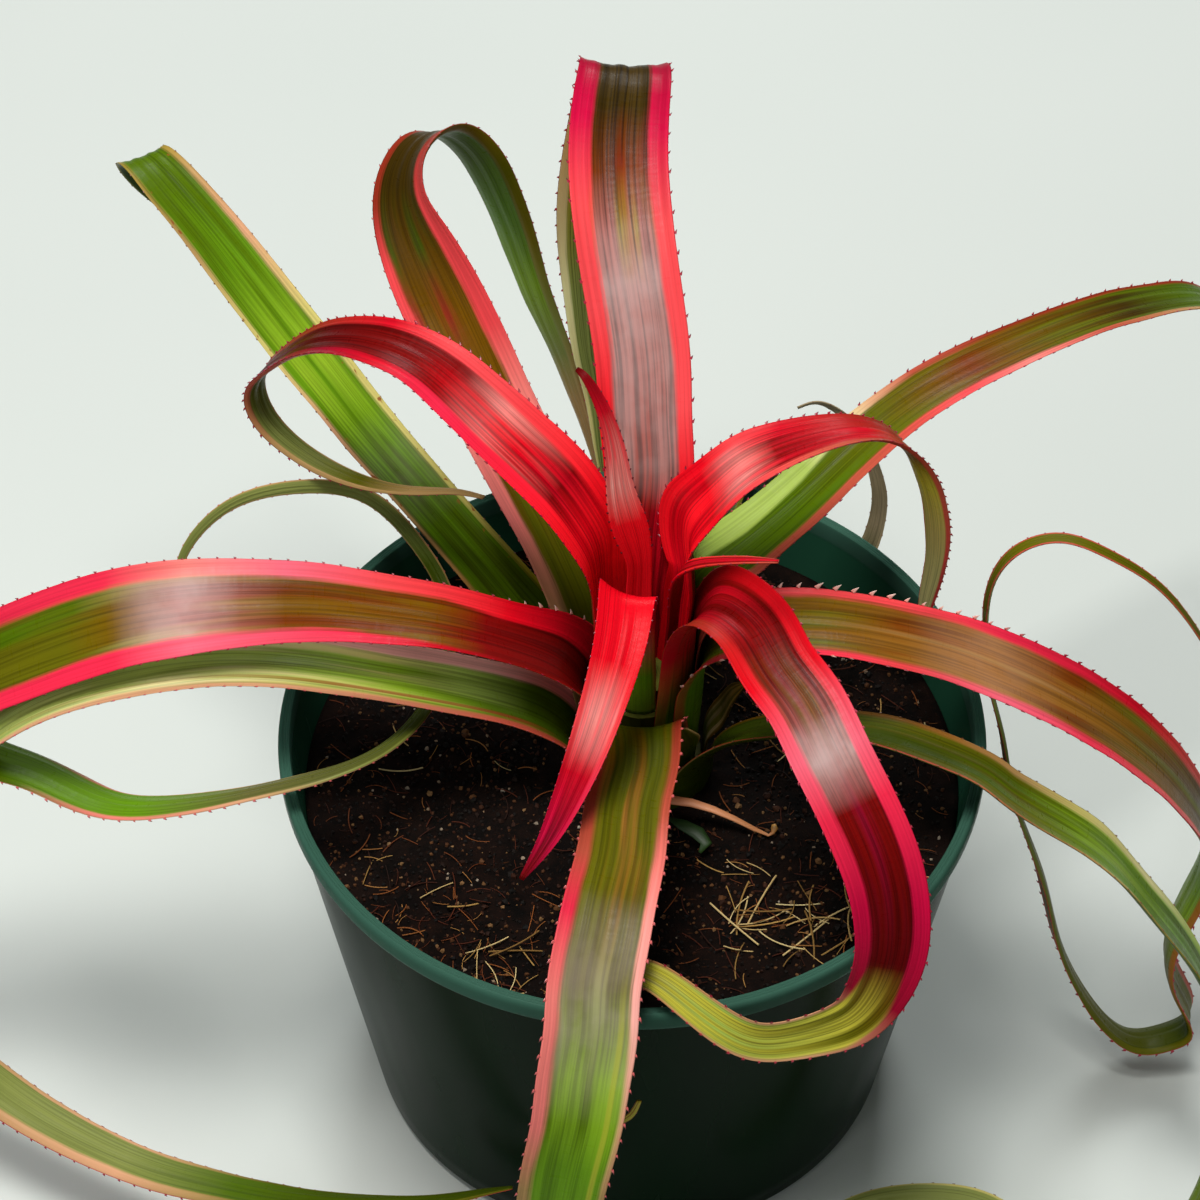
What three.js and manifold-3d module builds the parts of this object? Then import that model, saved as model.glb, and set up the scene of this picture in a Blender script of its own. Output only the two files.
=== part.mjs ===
// A pendulous, variegated bromeliad in its round nursery pot, in millimetres, +Z up.
// The origin is the middle of the pot's flat bottom, on the surface that it stands on. The plant's
// stem rises a little behind the middle of the soil, and its strap leaves clasp the stem with nested
// sheaths, then arch out, droop and end in long curling tips.
import * as THREE from 'three';
import { mergeVertices } from 'three/addons/utils/BufferGeometryUtils.js';
import Module from 'manifold-3d';

const wasm = await Module();
wasm.setup();

// Pot: a six inch plastic nursery pot
const POT_HEIGHT = 117.5;
const RIM_RADIUS = 82.5;
const BASE_RADIUS = 64.5;
const POT_WALL = 1.8;
const FLOOR = 2.4;
const LIP_HEIGHT = 5;
const LIP_STEP = 1.4;
const POT_SIDES = 56;
const DRAIN_HOLES = 8;
const DRAIN_RADIUS = 4.5;

// Potting mix, and the place of the stem in it
const SOIL_LEVEL = 99.5;
const SOIL_GAP = 0.35;
const STEM_X = 2;
const STEM_Y = 6;
const HOLE_RADIUS = 18.2;
const HOLE_DEPTH = 16;

// Leaf sheaths: shells nested about the stem, each on a ledge of its own, outermost first
const SHELL_RADII = [20.2, 18.75, 17.3, 15.85, 14.4, 12.95, 11.5, 8.9, 5.6];
const SHELL_LEDGES = [-4, -1, 2, 5, 9, 13, 18, 24, 30];
const SHEATH_THICKNESS = 0.8;
const SHELL_CLEARANCE = 0.65;
const LEDGE_GAP = 0.3;
const FLARE = 3.5;
const FLARE_HEIGHT = 64;
const STEM_TOP = 36;

// Leaf blades
const ACROSS = 6;
const BLADE_THICKNESS = 1.1;
const TIP_THICKNESS = 0.7;
const STEP = 14.5;
const SHEATH_STEP = 7.5;
const TOOTH_LENGTH = 1.9;
const TOOTH_BASE = 1.5;

const GREEN = 0x4f7a1e;
const WINE = 0x9c2030;
const RED = 0xd01828;
const TAN = 0xa8906a;
const POT_GREEN = 0x1c3d2c;
const SOIL_BROWN = 0x2a1a12;
const STEM_TAN = 0x8a7a4a;

// Seeded random numbers, so that every run makes the same soil
function makeRandom(seed) {
  let state = seed;
  return () => {
    state = (state * 1664525 + 1013904223) % 4294967296;
    return state / 4294967296;
  };
}

function material(color, roughness) {
  return new THREE.MeshStandardMaterial({ color, roughness, metalness: 0 });
}

function closedGeometry(points, faces) {
  const geometry = new THREE.BufferGeometry();
  geometry.setAttribute('position', new THREE.Float32BufferAttribute(points.flat(), 3));
  geometry.setIndex(faces.flat());
  geometry.computeVertexNormals();
  return geometry;
}

function toSolid(geometry) {
  const bare = geometry.clone();
  bare.deleteAttribute('normal');
  bare.deleteAttribute('uv');
  const merged = mergeVertices(bare, 1e-4);
  return new wasm.Manifold(new wasm.Mesh({
    numProp: 3,
    vertProperties: new Float32Array(merged.getAttribute('position').array),
    triVerts: new Uint32Array(merged.getIndex().array),
  }));
}

function fromSolid(solid) {
  const mesh = solid.getMesh();
  const geometry = new THREE.BufferGeometry();
  geometry.setAttribute('position', new THREE.BufferAttribute(new Float32Array(mesh.vertProperties), 3));
  geometry.setIndex(new THREE.BufferAttribute(new Uint32Array(mesh.triVerts), 1));
  geometry.computeVertexNormals();
  return geometry;
}

function lathe(profile, sides) {
  const outline = profile.map(([radius, height]) => new THREE.Vector2(radius, height));
  return new THREE.LatheGeometry(outline, sides).rotateX(Math.PI / 2);
}

// Radius of the pot's outer face below the lip, and of the face inside it
function potRadius(height) {
  const top = RIM_RADIUS - LIP_STEP;
  return BASE_RADIUS + (top - BASE_RADIUS) * (height / (POT_HEIGHT - LIP_HEIGHT));
}

function potInside(height) {
  return potRadius(height) - POT_WALL;
}

// The pot is one moulding: a flat floor with drain holes, a tapered wall and a thin stepped lip
function makePot() {
  const lipFoot = POT_HEIGHT - LIP_HEIGHT;
  const body = toSolid(lathe([
    [0, 0],
    [BASE_RADIUS - 2, 0],
    [potRadius(2.5), 2.5],
    [potRadius(lipFoot - 1.2), lipFoot - 1.2],
    [RIM_RADIUS - 0.3, lipFoot],
    [RIM_RADIUS, lipFoot + 1],
    [RIM_RADIUS, POT_HEIGHT - 0.6],
    [RIM_RADIUS - 0.7, POT_HEIGHT],
    [potInside(POT_HEIGHT) + 0.3, POT_HEIGHT],
    [potInside(lipFoot), lipFoot],
    [potInside(FLOOR), FLOOR],
    [0, FLOOR],
  ], POT_SIDES));
  let pot = body;
  for (let i = 0; i < DRAIN_HOLES; i += 1) {
    const angle = (2 * Math.PI * (i + 0.5)) / DRAIN_HOLES;
    const hole = new THREE.CylinderGeometry(DRAIN_RADIUS, DRAIN_RADIUS, FLOOR * 3, 10)
      .rotateX(Math.PI / 2)
      .translate(Math.cos(angle) * (BASE_RADIUS - 13), Math.sin(angle) * (BASE_RADIUS - 13), FLOOR / 2);
    pot = pot.subtract(toSolid(hole));
  }
  return fromSolid(pot);
}

// Height of the potting mix: slow swells that fade to a level band at the wall and round the stem
function soilHeight(x, y) {
  const swell = 1.3 * Math.sin(x / 13 + 1.3) * Math.cos(y / 11) + 0.8 * Math.sin((x + 1.4 * y) / 7.5);
  const fromWall = THREE.MathUtils.smoothstep(potInside(SOIL_LEVEL) - Math.hypot(x, y), 0, 9);
  const fromStem = THREE.MathUtils.smoothstep(Math.hypot(x - STEM_X, y - STEM_Y), HOLE_RADIUS + 1, HOLE_RADIUS + 9);
  return SOIL_LEVEL - 0.6 + swell * fromWall * fromStem;
}

// A crumb of bark or perlite: a squashed octahedron
function crumb(x, y, z, size, turn) {
  return new THREE.OctahedronGeometry(size, 0)
    .scale(1.3, 0.9, 0.6)
    .rotateZ(turn)
    .translate(x, y, z);
}

// A stalk of straw lies on the mix, sunk to half its thickness
function straw(x, y, z, length, turn, lift) {
  return new THREE.CylinderGeometry(0.75, 0.6, length, 4, 1)
    .rotateZ(Math.PI / 2)
    .rotateY(-lift)
    .rotateZ(turn)
    .translate(x, y, z);
}

// The mix fills the pot to a finger below the rim, with a plain hole where the stem stands
function makeSoil() {
  const random = makeRandom(7);
  const rings = 8;
  const points = [];
  const faces = [];
  const topRadius = potInside(SOIL_LEVEL) - SOIL_GAP;
  const ringRadius = (ring) => topRadius * ((ring + 1) / rings);
  points.push([0, 0, soilHeight(0, 0)]);
  for (let ring = 0; ring < rings; ring += 1) {
    for (let i = 0; i < POT_SIDES; i += 1) {
      const angle = (2 * Math.PI * i) / POT_SIDES;
      const x = ringRadius(ring) * Math.sin(angle);
      const y = -ringRadius(ring) * Math.cos(angle);
      points.push([x, y, soilHeight(x, y)]);
    }
  }
  const bottomRadius = potInside(FLOOR) - SOIL_GAP;
  const bottomStart = points.length;
  for (let i = 0; i < POT_SIDES; i += 1) {
    const angle = (2 * Math.PI * i) / POT_SIDES;
    points.push([bottomRadius * Math.sin(angle), -bottomRadius * Math.cos(angle), FLOOR + SOIL_GAP]);
  }
  points.push([0, 0, FLOOR + SOIL_GAP]);
  const bottomCentre = points.length - 1;
  for (let i = 0; i < POT_SIDES; i += 1) {
    const next = (i + 1) % POT_SIDES;
    faces.push([0, 1 + i, 1 + next]);
    for (let ring = 0; ring < rings - 1; ring += 1) {
      const a = 1 + ring * POT_SIDES + i;
      const b = 1 + ring * POT_SIDES + next;
      faces.push([a, a + POT_SIDES, b], [b, a + POT_SIDES, b + POT_SIDES]);
    }
    const rim = 1 + (rings - 1) * POT_SIDES;
    faces.push([rim + i, bottomStart + i, rim + next], [rim + next, bottomStart + i, bottomStart + next]);
    faces.push([bottomStart + i, bottomCentre, bottomStart + next]);
  }
  let soil = toSolid(closedGeometry(points, faces));
  for (let i = 0; i < 26; i += 1) {
    const angle = 2 * Math.PI * random();
    const radius = 27 + 42 * random();
    const size = 1.8 + 1.6 * random();
    const x = radius * Math.cos(angle);
    const y = radius * Math.sin(angle);
    soil = soil.add(toSolid(crumb(x, y, soilHeight(x, y), size, 6.28 * random())));
  }
  // Straw lies loosely all round, and thickest in front on the right
  for (let i = 0; i < 20; i += 1) {
    const gathered = i < 11;
    const angle = gathered ? -0.95 + 0.35 * (random() - 0.5) : 2 * Math.PI * random();
    const radius = gathered ? 50 + 14 * random() : 34 + 30 * random();
    const length = 9 + 13 * random();
    const x = radius * Math.cos(angle);
    const y = radius * Math.sin(angle);
    soil = soil.add(toSolid(straw(x, y, soilHeight(x, y) + 0.1, length, 6.28 * random(), 0.05)));
  }
  const hole = new THREE.CylinderGeometry(HOLE_RADIUS, HOLE_RADIUS, HOLE_DEPTH + 10, 32)
    .rotateX(Math.PI / 2)
    .translate(STEM_X, STEM_Y, SOIL_LEVEL - HOLE_DEPTH + (HOLE_DEPTH + 10) / 2);
  const bodies = soil.subtract(toSolid(hole)).decompose();
  return fromSolid(bodies.reduce((most, body) => (body.volume() > most.volume() ? body : most)));
}

// Sheaths widen upwards like a vase: how much nearer the axis they are at a height above the soil
function flare(up) {
  return -FLARE * (1 - THREE.MathUtils.clamp((up - SHELL_LEDGES[0]) / FLARE_HEIGHT, 0, 1));
}

// The short stem stands in the hole, stepped like a cone, with a ledge under each ring of sheaths
function makeStem() {
  const profile = [[0, -HOLE_DEPTH + 0.4]];
  let radius = SHELL_RADII[0] + SHEATH_THICKNESS / 2;
  profile.push([radius + flare(SHELL_LEDGES[0]), -HOLE_DEPTH + 0.4]);
  SHELL_RADII.forEach((shell, i) => {
    const ledge = SHELL_LEDGES[i];
    profile.push([radius + flare(ledge), ledge]);
    radius = shell - SHEATH_THICKNESS / 2 - SHELL_CLEARANCE;
    profile.push([radius + flare(ledge), ledge]);
  });
  profile.push([radius + flare(STEM_TOP), STEM_TOP], [0, STEM_TOP + 1]);
  return lathe(profile, 20);
}

// Each leaf: its sheath's azimuth (0 is +X, 90 is away from the front), shell, the height above the
// soil where the sheath leaves the stack, and the angle that the sheath wraps. Then the blade's
// midline, as rows of [out, side, up, width, twist]: out along the azimuth, side to the left of it,
// up from the soil, the blade's width, and its turn about the midline in degrees.
const LEAVES = [
  { name: 'leaf_front', azimuth: 265, shell: 2, top: 24, wrap: 130, color: GREEN, blade: [
    [18.5, 0, 32, 24, 0], [24, 1, 37, 21, 0], [34, 2, 38.5, 19.5, 0], [46, 1, 39, 19.5, 0],
    [59, 1, 38.5, 20, 0], [70, 0, 37.5, 20.5, 0], [80, -1, 34.5, 21, 0], [89, -2, 29.5, 21, 0],
    [96, -2, 22.5, 21, 0], [102, -3, 13, 21, 0], [107, -4, 3, 20.5, 0], [111, -6, -9, 20, 0],
    [113, -8, -25, 19, 0], [113, -10, -42, 17, 5], [109, -12, -59, 15, 10], [101, -15, -73, 12.5, 15],
    [89, -18, -83, 9.5, 20], [80, -25, -89, 6.5, 20], [75, -35, -91, 4, 20], [73, -46, -90, 1.5, 20]] },
  { name: 'leaf_right_low', azimuth: -33, shell: 0, top: 3, wrap: 90, color: GREEN, blade: [
    [17.5, 1, 9, 20, 0], [22, 4, 16, 18, 0], [30, 8, 21, 17.5, 0], [41, 12, 25.5, 18, 0],
    [53, 15, 29, 18, 0], [65, 17, 30, 18, 0], [79, 20, 27.5, 18, 0], [88, 21, 23.5, 18.5, 0],
    [100, 26, 15, 19, 0], [110, 30, 6, 19, 0], [120, 33, -7, 18.5, 0], [132, 35, -22, 18, 0],
    [142, 32, -37, 17, -4], [150, 23, -51, 15.5, -12], [155, 8, -64, 13.5, -24],
    [153, -8, -75, 12.5, -36], [144, -17, -81, 11.5, -44], [131, -18, -83, 11, -48],
    [118, -15.5, -83, 10.5, -50], [107, -16, -82, 10, -50], [97, -21, -81.5, 9.5, -50],
    [89, -26.5, -82.5, 8.5, -50], [82, -32.5, -85, 7, -50], [77, -39, -88.5, 5, -50],
    [73, -46, -92, 3, -50], [71, -54, -94.5, 1.2, -50]] },
  { name: 'leaf_left_low', azimuth: 188, shell: 1, top: 5, wrap: 98, color: GREEN, blade: [
    [18.5, 0, 13, 23, 0], [25, 0, 20.5, 21.5, 0], [34, 0, 26.5, 20, 0], [46, 0, 32.5, 19.5, 0],
    [60, 0, 38.5, 19.5, 0], [74, -1, 43, 20, 0], [89, -2.5, 45.5, 20, 0], [103, -3.5, 45.5, 20, 0],
    [117, -4, 43.6, 19.5, 0], [131, -4.5, 39.5, 19, 0], [142, -4.5, 34, 18.5, 0],
    [149.5, -4.5, 27.8, 18, 0], [152, -4, 23, 17.5, 0], [148.5, -3, 19.2, 16.5, 0],
    [140, 0, 16.3, 15.5, 0], [129, 7, 14.5, 14, 0], [117, 12, 15, 12, 0], [99, 16, 20, 9, 0],
    [84, 18, 25, 7, 0], [72, 17, 27, 6, 0], [61, 12, 27, 5, 0], [51.5, 1, 25, 4.5, 0],
    [44.5, -14, 24.5, 4.2, 0], [42.5, -29, 29.5, 4, 0], [48, -41, 36.5, 4, 0], [58.5, -50.5, 44, 4, 0],
    [74, -53, 47, 3.8, 0], [91, -55, 41, 3, 0], [103, -53, 28, 2.2, 0], [106, -50, 15, 1.2, 0]] },
  { name: 'leaf_back_left_low', azimuth: 138, shell: 0, top: 5, wrap: 124, color: GREEN, blade: [
    [20.5, 0, 12.5, 22.5, 0], [28, 0, 17.3, 19.5, 0], [38, 0, 22.5, 17, 0], [49, 0, 28.5, 16, 0],
    [62, 0, 35, 15.5, 0], [75, 0, 41.5, 15.8, 0], [88, 0, 48, 16.3, 0], [101, 0, 56, 17, 0],
    [114, 0, 64, 17.3, 0], [127, 0, 72.5, 17, 0], [140, 0, 81, 16, 0], [152, 0, 87.5, 15, 0],
    [161, -1, 89.5, 13.5, 0], [166, -3, 85, 12, 0], [164, -6, 77, 10.5, 0], [157, -9, 71, 9.5, 0],
    [146, -10, 66, 8, 0], [135, -11, 61.5, 6.5, 0], [123, -11, 57, 4.5, 0], [112, -11, 52, 2.5, 0],
    [106, -11, 49, 1.2, 0]] },
  { name: 'leaf_back_left', azimuth: 122, shell: 2, top: 14, wrap: 130, color: WINE, blade: [
    [18.5, 0, 23, 25, 0], [23, 0, 31, 22, 0], [31, 0, 38.5, 21, 0], [42, 0, 45.5, 21, 0],
    [54, 0, 51.5, 21, -2], [66, 0, 58, 21, -6], [78, 0, 67, 21, -14], [89, 0, 75.5, 21, -28],
    [99, 0.5, 85.5, 20.5, -46], [106.5, 0, 94.5, 19, -66], [111, -4, 101.5, 17.5, -82],
    [113, -10, 104.5, 16.5, -90], [113.5, -16.5, 102, 15.5, -92], [112, -22, 94.5, 14.5, -92],
    [111, -26, 84, 13.5, -90], [111, -30, 70.5, 12.5, -88], [112, -34, 55, 11.5, -86],
    [111, -38, 38, 10, -84], [108, -42, 22, 8.5, -82], [104, -45, 6, 6.5, -80],
    [100, -47, -8, 4.5, -80], [97, -48, -20, 2, -80]] },
  { name: 'leaf_back', azimuth: 92, shell: 5, top: 46, wrap: 110, color: WINE, blade: [
    [14.5, 0, 55, 24, 0], [18.5, -1, 63, 22, 0], [25, -2, 71, 21.5, 0], [34, -1.5, 79, 22, 0],
    [45, -1, 88, 22.5, 0], [58, 1, 98, 23, 0], [72, 3, 107, 23.5, 0], [86, 3.5, 114, 23.5, 0],
    [98, 2.5, 118.5, 23, 0], [108, 1.5, 119, 22, 0], [115, 2, 114, 20.5, 0], [118, 4, 104, 18.5, 0],
    [118, 7, 91, 16.5, 0], [117, 10, 76, 14.5, 0], [115, 11.5, 60, 12.5, 0], [112, 11, 43, 10.5, 0],
    [109, 10, 27, 8.5, 0], [106, 8, 13, 6.5, 0], [101, 7, 0, 4, 0], [97, 6, -10, 1.5, 0]] },
  { name: 'leaf_left', azimuth: 182, shell: 3, top: 26, wrap: 130, color: WINE, blade: [
    [17.5, 0, 34, 26, 0], [22, 0, 38.5, 22.5, 0], [31, 0, 43.5, 20, 0], [45, 0, 49.5, 19.5, -3],
    [59, 0, 53, 20, -6], [73, 0, 55.5, 21.5, -9], [88, 0.5, 56.5, 23, -12], [102, 1, 56, 24.5, -16],
    [117, 1.5, 53.5, 25, -20], [132, 2, 48, 25, -22], [147, 2, 40, 24.5, -22], [160, 1, 29, 23.5, -20],
    [171, 3, 14, 22, -12], [179, 8, -4, 20.5, 5], [182, 15, -24, 19, 22], [180, 24, -41, 17.5, 34],
    [173, 33, -56, 16, 40], [161, 41, -67, 14.5, 44], [148, 49, -72, 13.5, 46],
    [134, 57, -74, 12.5, 46], [119, 64, -75, 11.5, 46], [104, 69, -75, 10.5, 46], [86, 74, -74, 9, 44],
    [68, 77, -72, 7, 40], [52, 78, -70, 5, 36], [40, 78, -67, 3, 34], [32, 78, -65, 1.2, 34]] },
  { name: 'leaf_right', azimuth: -3, shell: 3, top: 36, wrap: 120, color: WINE, blade: [
    [16.5, 0, 43, 25, 0], [21, 0, 46.5, 22.5, 0], [29, 0, 48.5, 21, 0], [39, 0, 49.5, 20.5, 0],
    [50, 0, 48.5, 20.5, 0], [61, 0, 46, 21, 0], [73, 0, 42, 22, 0], [86, 0, 35.5, 23, 0],
    [98, 0, 28, 23.5, 0], [110, 0, 18.5, 23.5, 0], [121, 0, 7, 23, 0], [130, 0, -6, 22, 0],
    [136, 0, -21, 20, 0], [135, -1, -38, 17.5, 0], [131, -3, -57, 16, 0], [134, -4, -74, 15, 0],
    [139, -6, -86, 14, 0], [133, -8, -91, 13, 0], [123, -9, -90, 12.5, 0], [112, -5, -78, 11.5, 0],
    [104, -2, -60, 9.5, 0], [98, 1, -38, 7, 0], [90, 4, -15, 4.5, 0], [86, 11, 0, 4, 0],
    [82, 17, 12, 3.8, 0], [80, 21, 25, 3.6, 0], [80, 23, 40, 3.6, 0], [85, 24, 52, 3.4, 0],
    [95, 25, 56, 3.2, 0], [106, 23, 53.5, 3, 0], [119, 22, 44, 2.6, 0], [130, 19, 30, 2, 0],
    [138, 18, 15, 1.2, 0]] },
  { name: 'leaf_back_right', azimuth: 38, shell: 4, top: 42, wrap: 150, color: GREEN, blade: [
    [16, 0, 47.5, 23, 0], [20, 0, 51, 21, 0], [28, 0, 53, 19, 0], [40, 0, 56.5, 17.5, 0],
    [52, 0, 61.5, 16.5, 0], [66, 0, 67.5, 15.5, 0], [82, 0, 71, 15, 0], [99, 0, 70.8, 14.5, 0],
    [119, 0, 68, 13.5, 0], [140, 0, 63.3, 13, 0], [160, 0, 56, 12.5, 0], [174, 0, 48.5, 12, 0],
    [184, 0, 38, 11.5, 0], [189.5, 0, 25, 11, 0], [192, -1, 11, 10, 0], [192.5, -2, -4, 8.5, 0],
    [192, -3, -19, 7, 0], [191, -4, -33, 5.5, 0], [190, -6, -46, 4, 0], [188, -8, -57, 2.5, 0],
    [185.5, -10, -66, 1.2, 0]] },
  { name: 'leaf_back_low', azimuth: 72, shell: 1, top: 7, wrap: 88, color: GREEN, blade: [
    [19, 0, 15, 19, 0], [26, 0, 20, 16, 0], [37, 0, 25, 14, 0], [49, 0, 28, 12.5, 0],
    [62, 0, 28.5, 11.5, 0], [74, 0, 26, 11, 0], [84, -1, 17, 11, 0], [90, -3, 3, 10.5, 0],
    [94, -7, -14, 10, 0], [99, -12, -31, 9, 15], [106, -17.5, -42, 7.5, 35],
    [112, -22.5, -43, 6.2, 50], [116, -25.5, -36, 5.2, 60], [118, -26.5, -27, 4.6, 64],
    [118.5, -26, -18, 4.2, 66], [119, -23, -8, 3.6, 68], [118, -19, 2, 3, 70],
    [116, -14.5, 9, 2.4, 70], [113.5, -9.5, 13, 1.8, 70], [111, -5, 12, 1.2, 70]] },
  { name: 'leaf_front_right', azimuth: -22, shell: 5, top: 50, wrap: 110, color: RED, blade: [
    [15, 1, 58, 22, 0], [20, 0, 62.5, 20, 0], [29, -5, 64, 19, 0], [37, -12, 62.5, 18.5, 0],
    [46, -18, 60, 18.5, 0], [55, -26, 56, 18.5, 0], [64, -33, 50, 18.5, 0], [72, -39, 42, 18.5, 0],
    [77, -44, 32, 18, 0], [79, -50, 22, 17, 0], [77, -57, 14, 14.5, 0], [72, -63, 11, 12, 0],
    [63, -70, 10.5, 10, 0], [55, -75.5, 14.5, 9, 0], [45, -77, 21.5, 8, 0], [35, -75.5, 25, 7, 0],
    [27, -77, 26, 6, 0], [21, -83, 25, 5.2, 0], [18.5, -91, 20, 4.6, 0], [20, -96, 10, 4, 0],
    [24.5, -96, 0, 3.4, 0], [30, -93.5, -7.5, 2.8, 0], [34.5, -91, -7.5, 2, 0],
    [36.5, -89.5, -2, 1.2, 0]] },
  { name: 'leaf_inner_left', azimuth: 150, shell: 6, top: 58, wrap: 105, color: RED, blade: [
    [12.5, 0, 67, 20, 0], [15.5, 1, 75, 20.5, 0], [21.5, 1.5, 83, 21, 0], [31, 1.5, 90, 20.5, 0],
    [43, 1, 97, 19.5, 0], [55, 0, 102, 17.5, 0], [66, 0, 103, 15.5, 0], [77, 0, 100, 14, 0],
    [88, 0, 93, 12.5, 0], [97, 0, 83, 11, 0], [103, 0, 74, 9.5, 0], [104, 0, 66, 8.5, 0],
    [100, 0, 59, 7.5, 0], [91, 0, 54.5, 6.5, 0], [80, 0, 53.5, 5.2, 0], [68, 0, 56, 3.8, 0],
    [57, 0, 61, 2.8, 0], [49, 0, 65, 2, 0], [42, 0, 67, 1.2, 0]] },
  { name: 'leaf_inner_right', azimuth: 18, shell: 6, top: 60, wrap: 105, color: RED, blade: [
    [12, 3.5, 67, 21.5, 0], [13, 4.4, 74, 21.5, 0], [16.8, 2.8, 82, 18.4, 0], [24, 1.4, 90.8, 17, -4],
    [34, 1, 94.8, 14.5, -8], [45, 0, 96.5, 12, -14], [54, 0, 94, 10.5, -18], [61, 0, 87.5, 10, -22],
    [66, 0, 77.5, 9.5, -27], [69.5, 0, 65, 9, -30], [71, 0, 53, 8, -32], [71, 0, 43, 6.5, -32],
    [70, 0, 33, 4.8, -32], [69, 0, 23, 2.8, -32], [67, 0, 14, 1.2, -32]] },
  { name: 'leaf_inner_front', azimuth: 250, shell: 7, top: 60, wrap: 100, color: RED, blade: [
    [10, 0, 67, 14, 0], [14, 1, 71, 13.5, 0], [22, 3, 69, 12.5, 0], [32, 4, 64, 11, 0],
    [43, 4, 57.5, 9.5, 0], [53, 3, 50.5, 7.5, 0], [62, 1, 43, 4.5, 0], [68, -3, 34, 1.2, 0]] },
  { name: 'leaf_heart', azimuth: 100, shell: 8, top: 64, wrap: 90, color: RED, blade: [
    [6, 2, 75, 8.6, 0], [7, 4, 86, 6.8, 0], [8.5, 5, 97, 5, 0], [11, 7, 107, 3.4, 0],
    [14, 10, 114, 2.2, 0], [17, 12, 115, 1.2, 0]] },
  { name: 'leaf_curl', azimuth: -32, shell: 7, top: 58, wrap: 45, color: RED, blade: [
    [9.2, 0, 65, 6.5, 0], [10.2, -0.5, 71.5, 5.5, 0], [13.5, -1, 76.5, 4.2, 0], [18, -0.5, 80, 3.4, 0],
    [26, 1, 84, 2.6, 0], [33, 3, 86, 1.2, 0]] },
  { name: 'bract_front', azimuth: -64, shell: 1, top: 14, wrap: 46, color: GREEN, blade: [
    [17.4, 0, 20, 15.5, 0], [18, 0, 25, 11, 0], [18.4, 0, 28.5, 6, 0], [18.6, 0, 30, 1.5, 0]] },
  { name: 'bract_right', azimuth: 0, shell: 1, top: 10, wrap: 34, color: TAN, blade: [
    [19, 0, 16, 10.5, 0], [21, 0, 21.5, 8, 0], [23, 0, 25, 4, 0], [24, 0, 26, 1.5, 0]] },
];

// A smooth curve through rows of numbers: the control rows of a cubic B-spline that meets each row
function controlRows(rows) {
  const control = rows.map((row) => [...row]);
  for (let pass = 0; pass < 30; pass += 1) {
    for (let i = 1; i < rows.length - 1; i += 1) {
      for (let k = 0; k < rows[i].length; k += 1) {
        const met = (control[i - 1][k] + 4 * control[i][k] + control[i + 1][k]) / 6;
        control[i][k] += rows[i][k] - met;
      }
    }
  }
  return control;
}

function curveRow(control, t) {
  const last = control.length - 1;
  const span = Math.min(Math.floor(t), last - 1);
  const f = t - span;
  const weights = [(1 - f) ** 3, 3 * f ** 3 - 6 * f ** 2 + 4, -3 * f ** 3 + 3 * f ** 2 + 3 * f + 1, f ** 3];
  const mirrored = (i) => {
    if (i < 0) return control[0].map((value, k) => 2 * value - control[1][k]);
    if (i > last) return control[last].map((value, k) => 2 * value - control[last - 1][k]);
    return control[i];
  };
  const near = [-1, 0, 1, 2].map((offset) => mirrored(span + offset));
  return control[0].map((_, k) => weights.reduce((sum, w, j) => sum + (w * near[j][k]) / 6, 0));
}

// Rows of the sheath, from its ledge on the stem to the height where it leaves the stack
function sheathRows(leaf) {
  const radius = SHELL_RADII[leaf.shell];
  const foot = SHELL_LEDGES[leaf.shell] + LEDGE_GAP;
  const pieces = Math.max(1, Math.round((leaf.top - foot) / 9));
  const wide = (radius + flare(foot)) * THREE.MathUtils.degToRad(leaf.wrap);
  const narrow = Math.min(wide, leaf.blade[0][3] * 1.12);
  const rows = [];
  for (let i = 0; i <= pieces; i += 1) {
    const up = foot + ((leaf.top - foot) * i) / pieces;
    const width = wide + (narrow - wide) * THREE.MathUtils.smoothstep(i / pieces, 0, 1);
    rows.push([radius + flare(up), 0, up, width, 0]);
  }
  return rows;
}

// Stations along a leaf, a few millimetres apart, with its frame turned as little as the path allows
function leafStations(leaf) {
  const control = controlRows([...sheathRows(leaf), ...leaf.blade]);
  const turn = THREE.MathUtils.degToRad(leaf.azimuth);
  const out = new THREE.Vector3(Math.cos(turn), Math.sin(turn), 0);
  const side = new THREE.Vector3(-Math.sin(turn), Math.cos(turn), 0);
  const samples = (control.length - 1) * 8;
  const fine = [];
  let length = 0;
  for (let i = 0; i <= samples; i += 1) {
    const [o, s, u, width, twist] = curveRow(control, (i * (control.length - 1)) / samples);
    const point = out.clone().multiplyScalar(o).addScaledVector(side, s).add(new THREE.Vector3(0, 0, u));
    if (i > 0) length += point.distanceTo(fine[i - 1].point);
    fine.push({ point, width, twist, along: length, up: u });
  }
  let across = side.clone();
  fine.forEach((station, i) => {
    const before = fine[Math.max(i - 1, 0)].point;
    const after = fine[Math.min(i + 1, samples)].point;
    station.tangent = after.clone().sub(before).normalize();
    across = across.clone().addScaledVector(station.tangent, -across.dot(station.tangent)).normalize();
    station.across = across.clone().applyAxisAngle(station.tangent, THREE.MathUtils.degToRad(station.twist));
    station.face = station.across.clone().cross(station.tangent).negate();
  });
  return fine;
}

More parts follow.
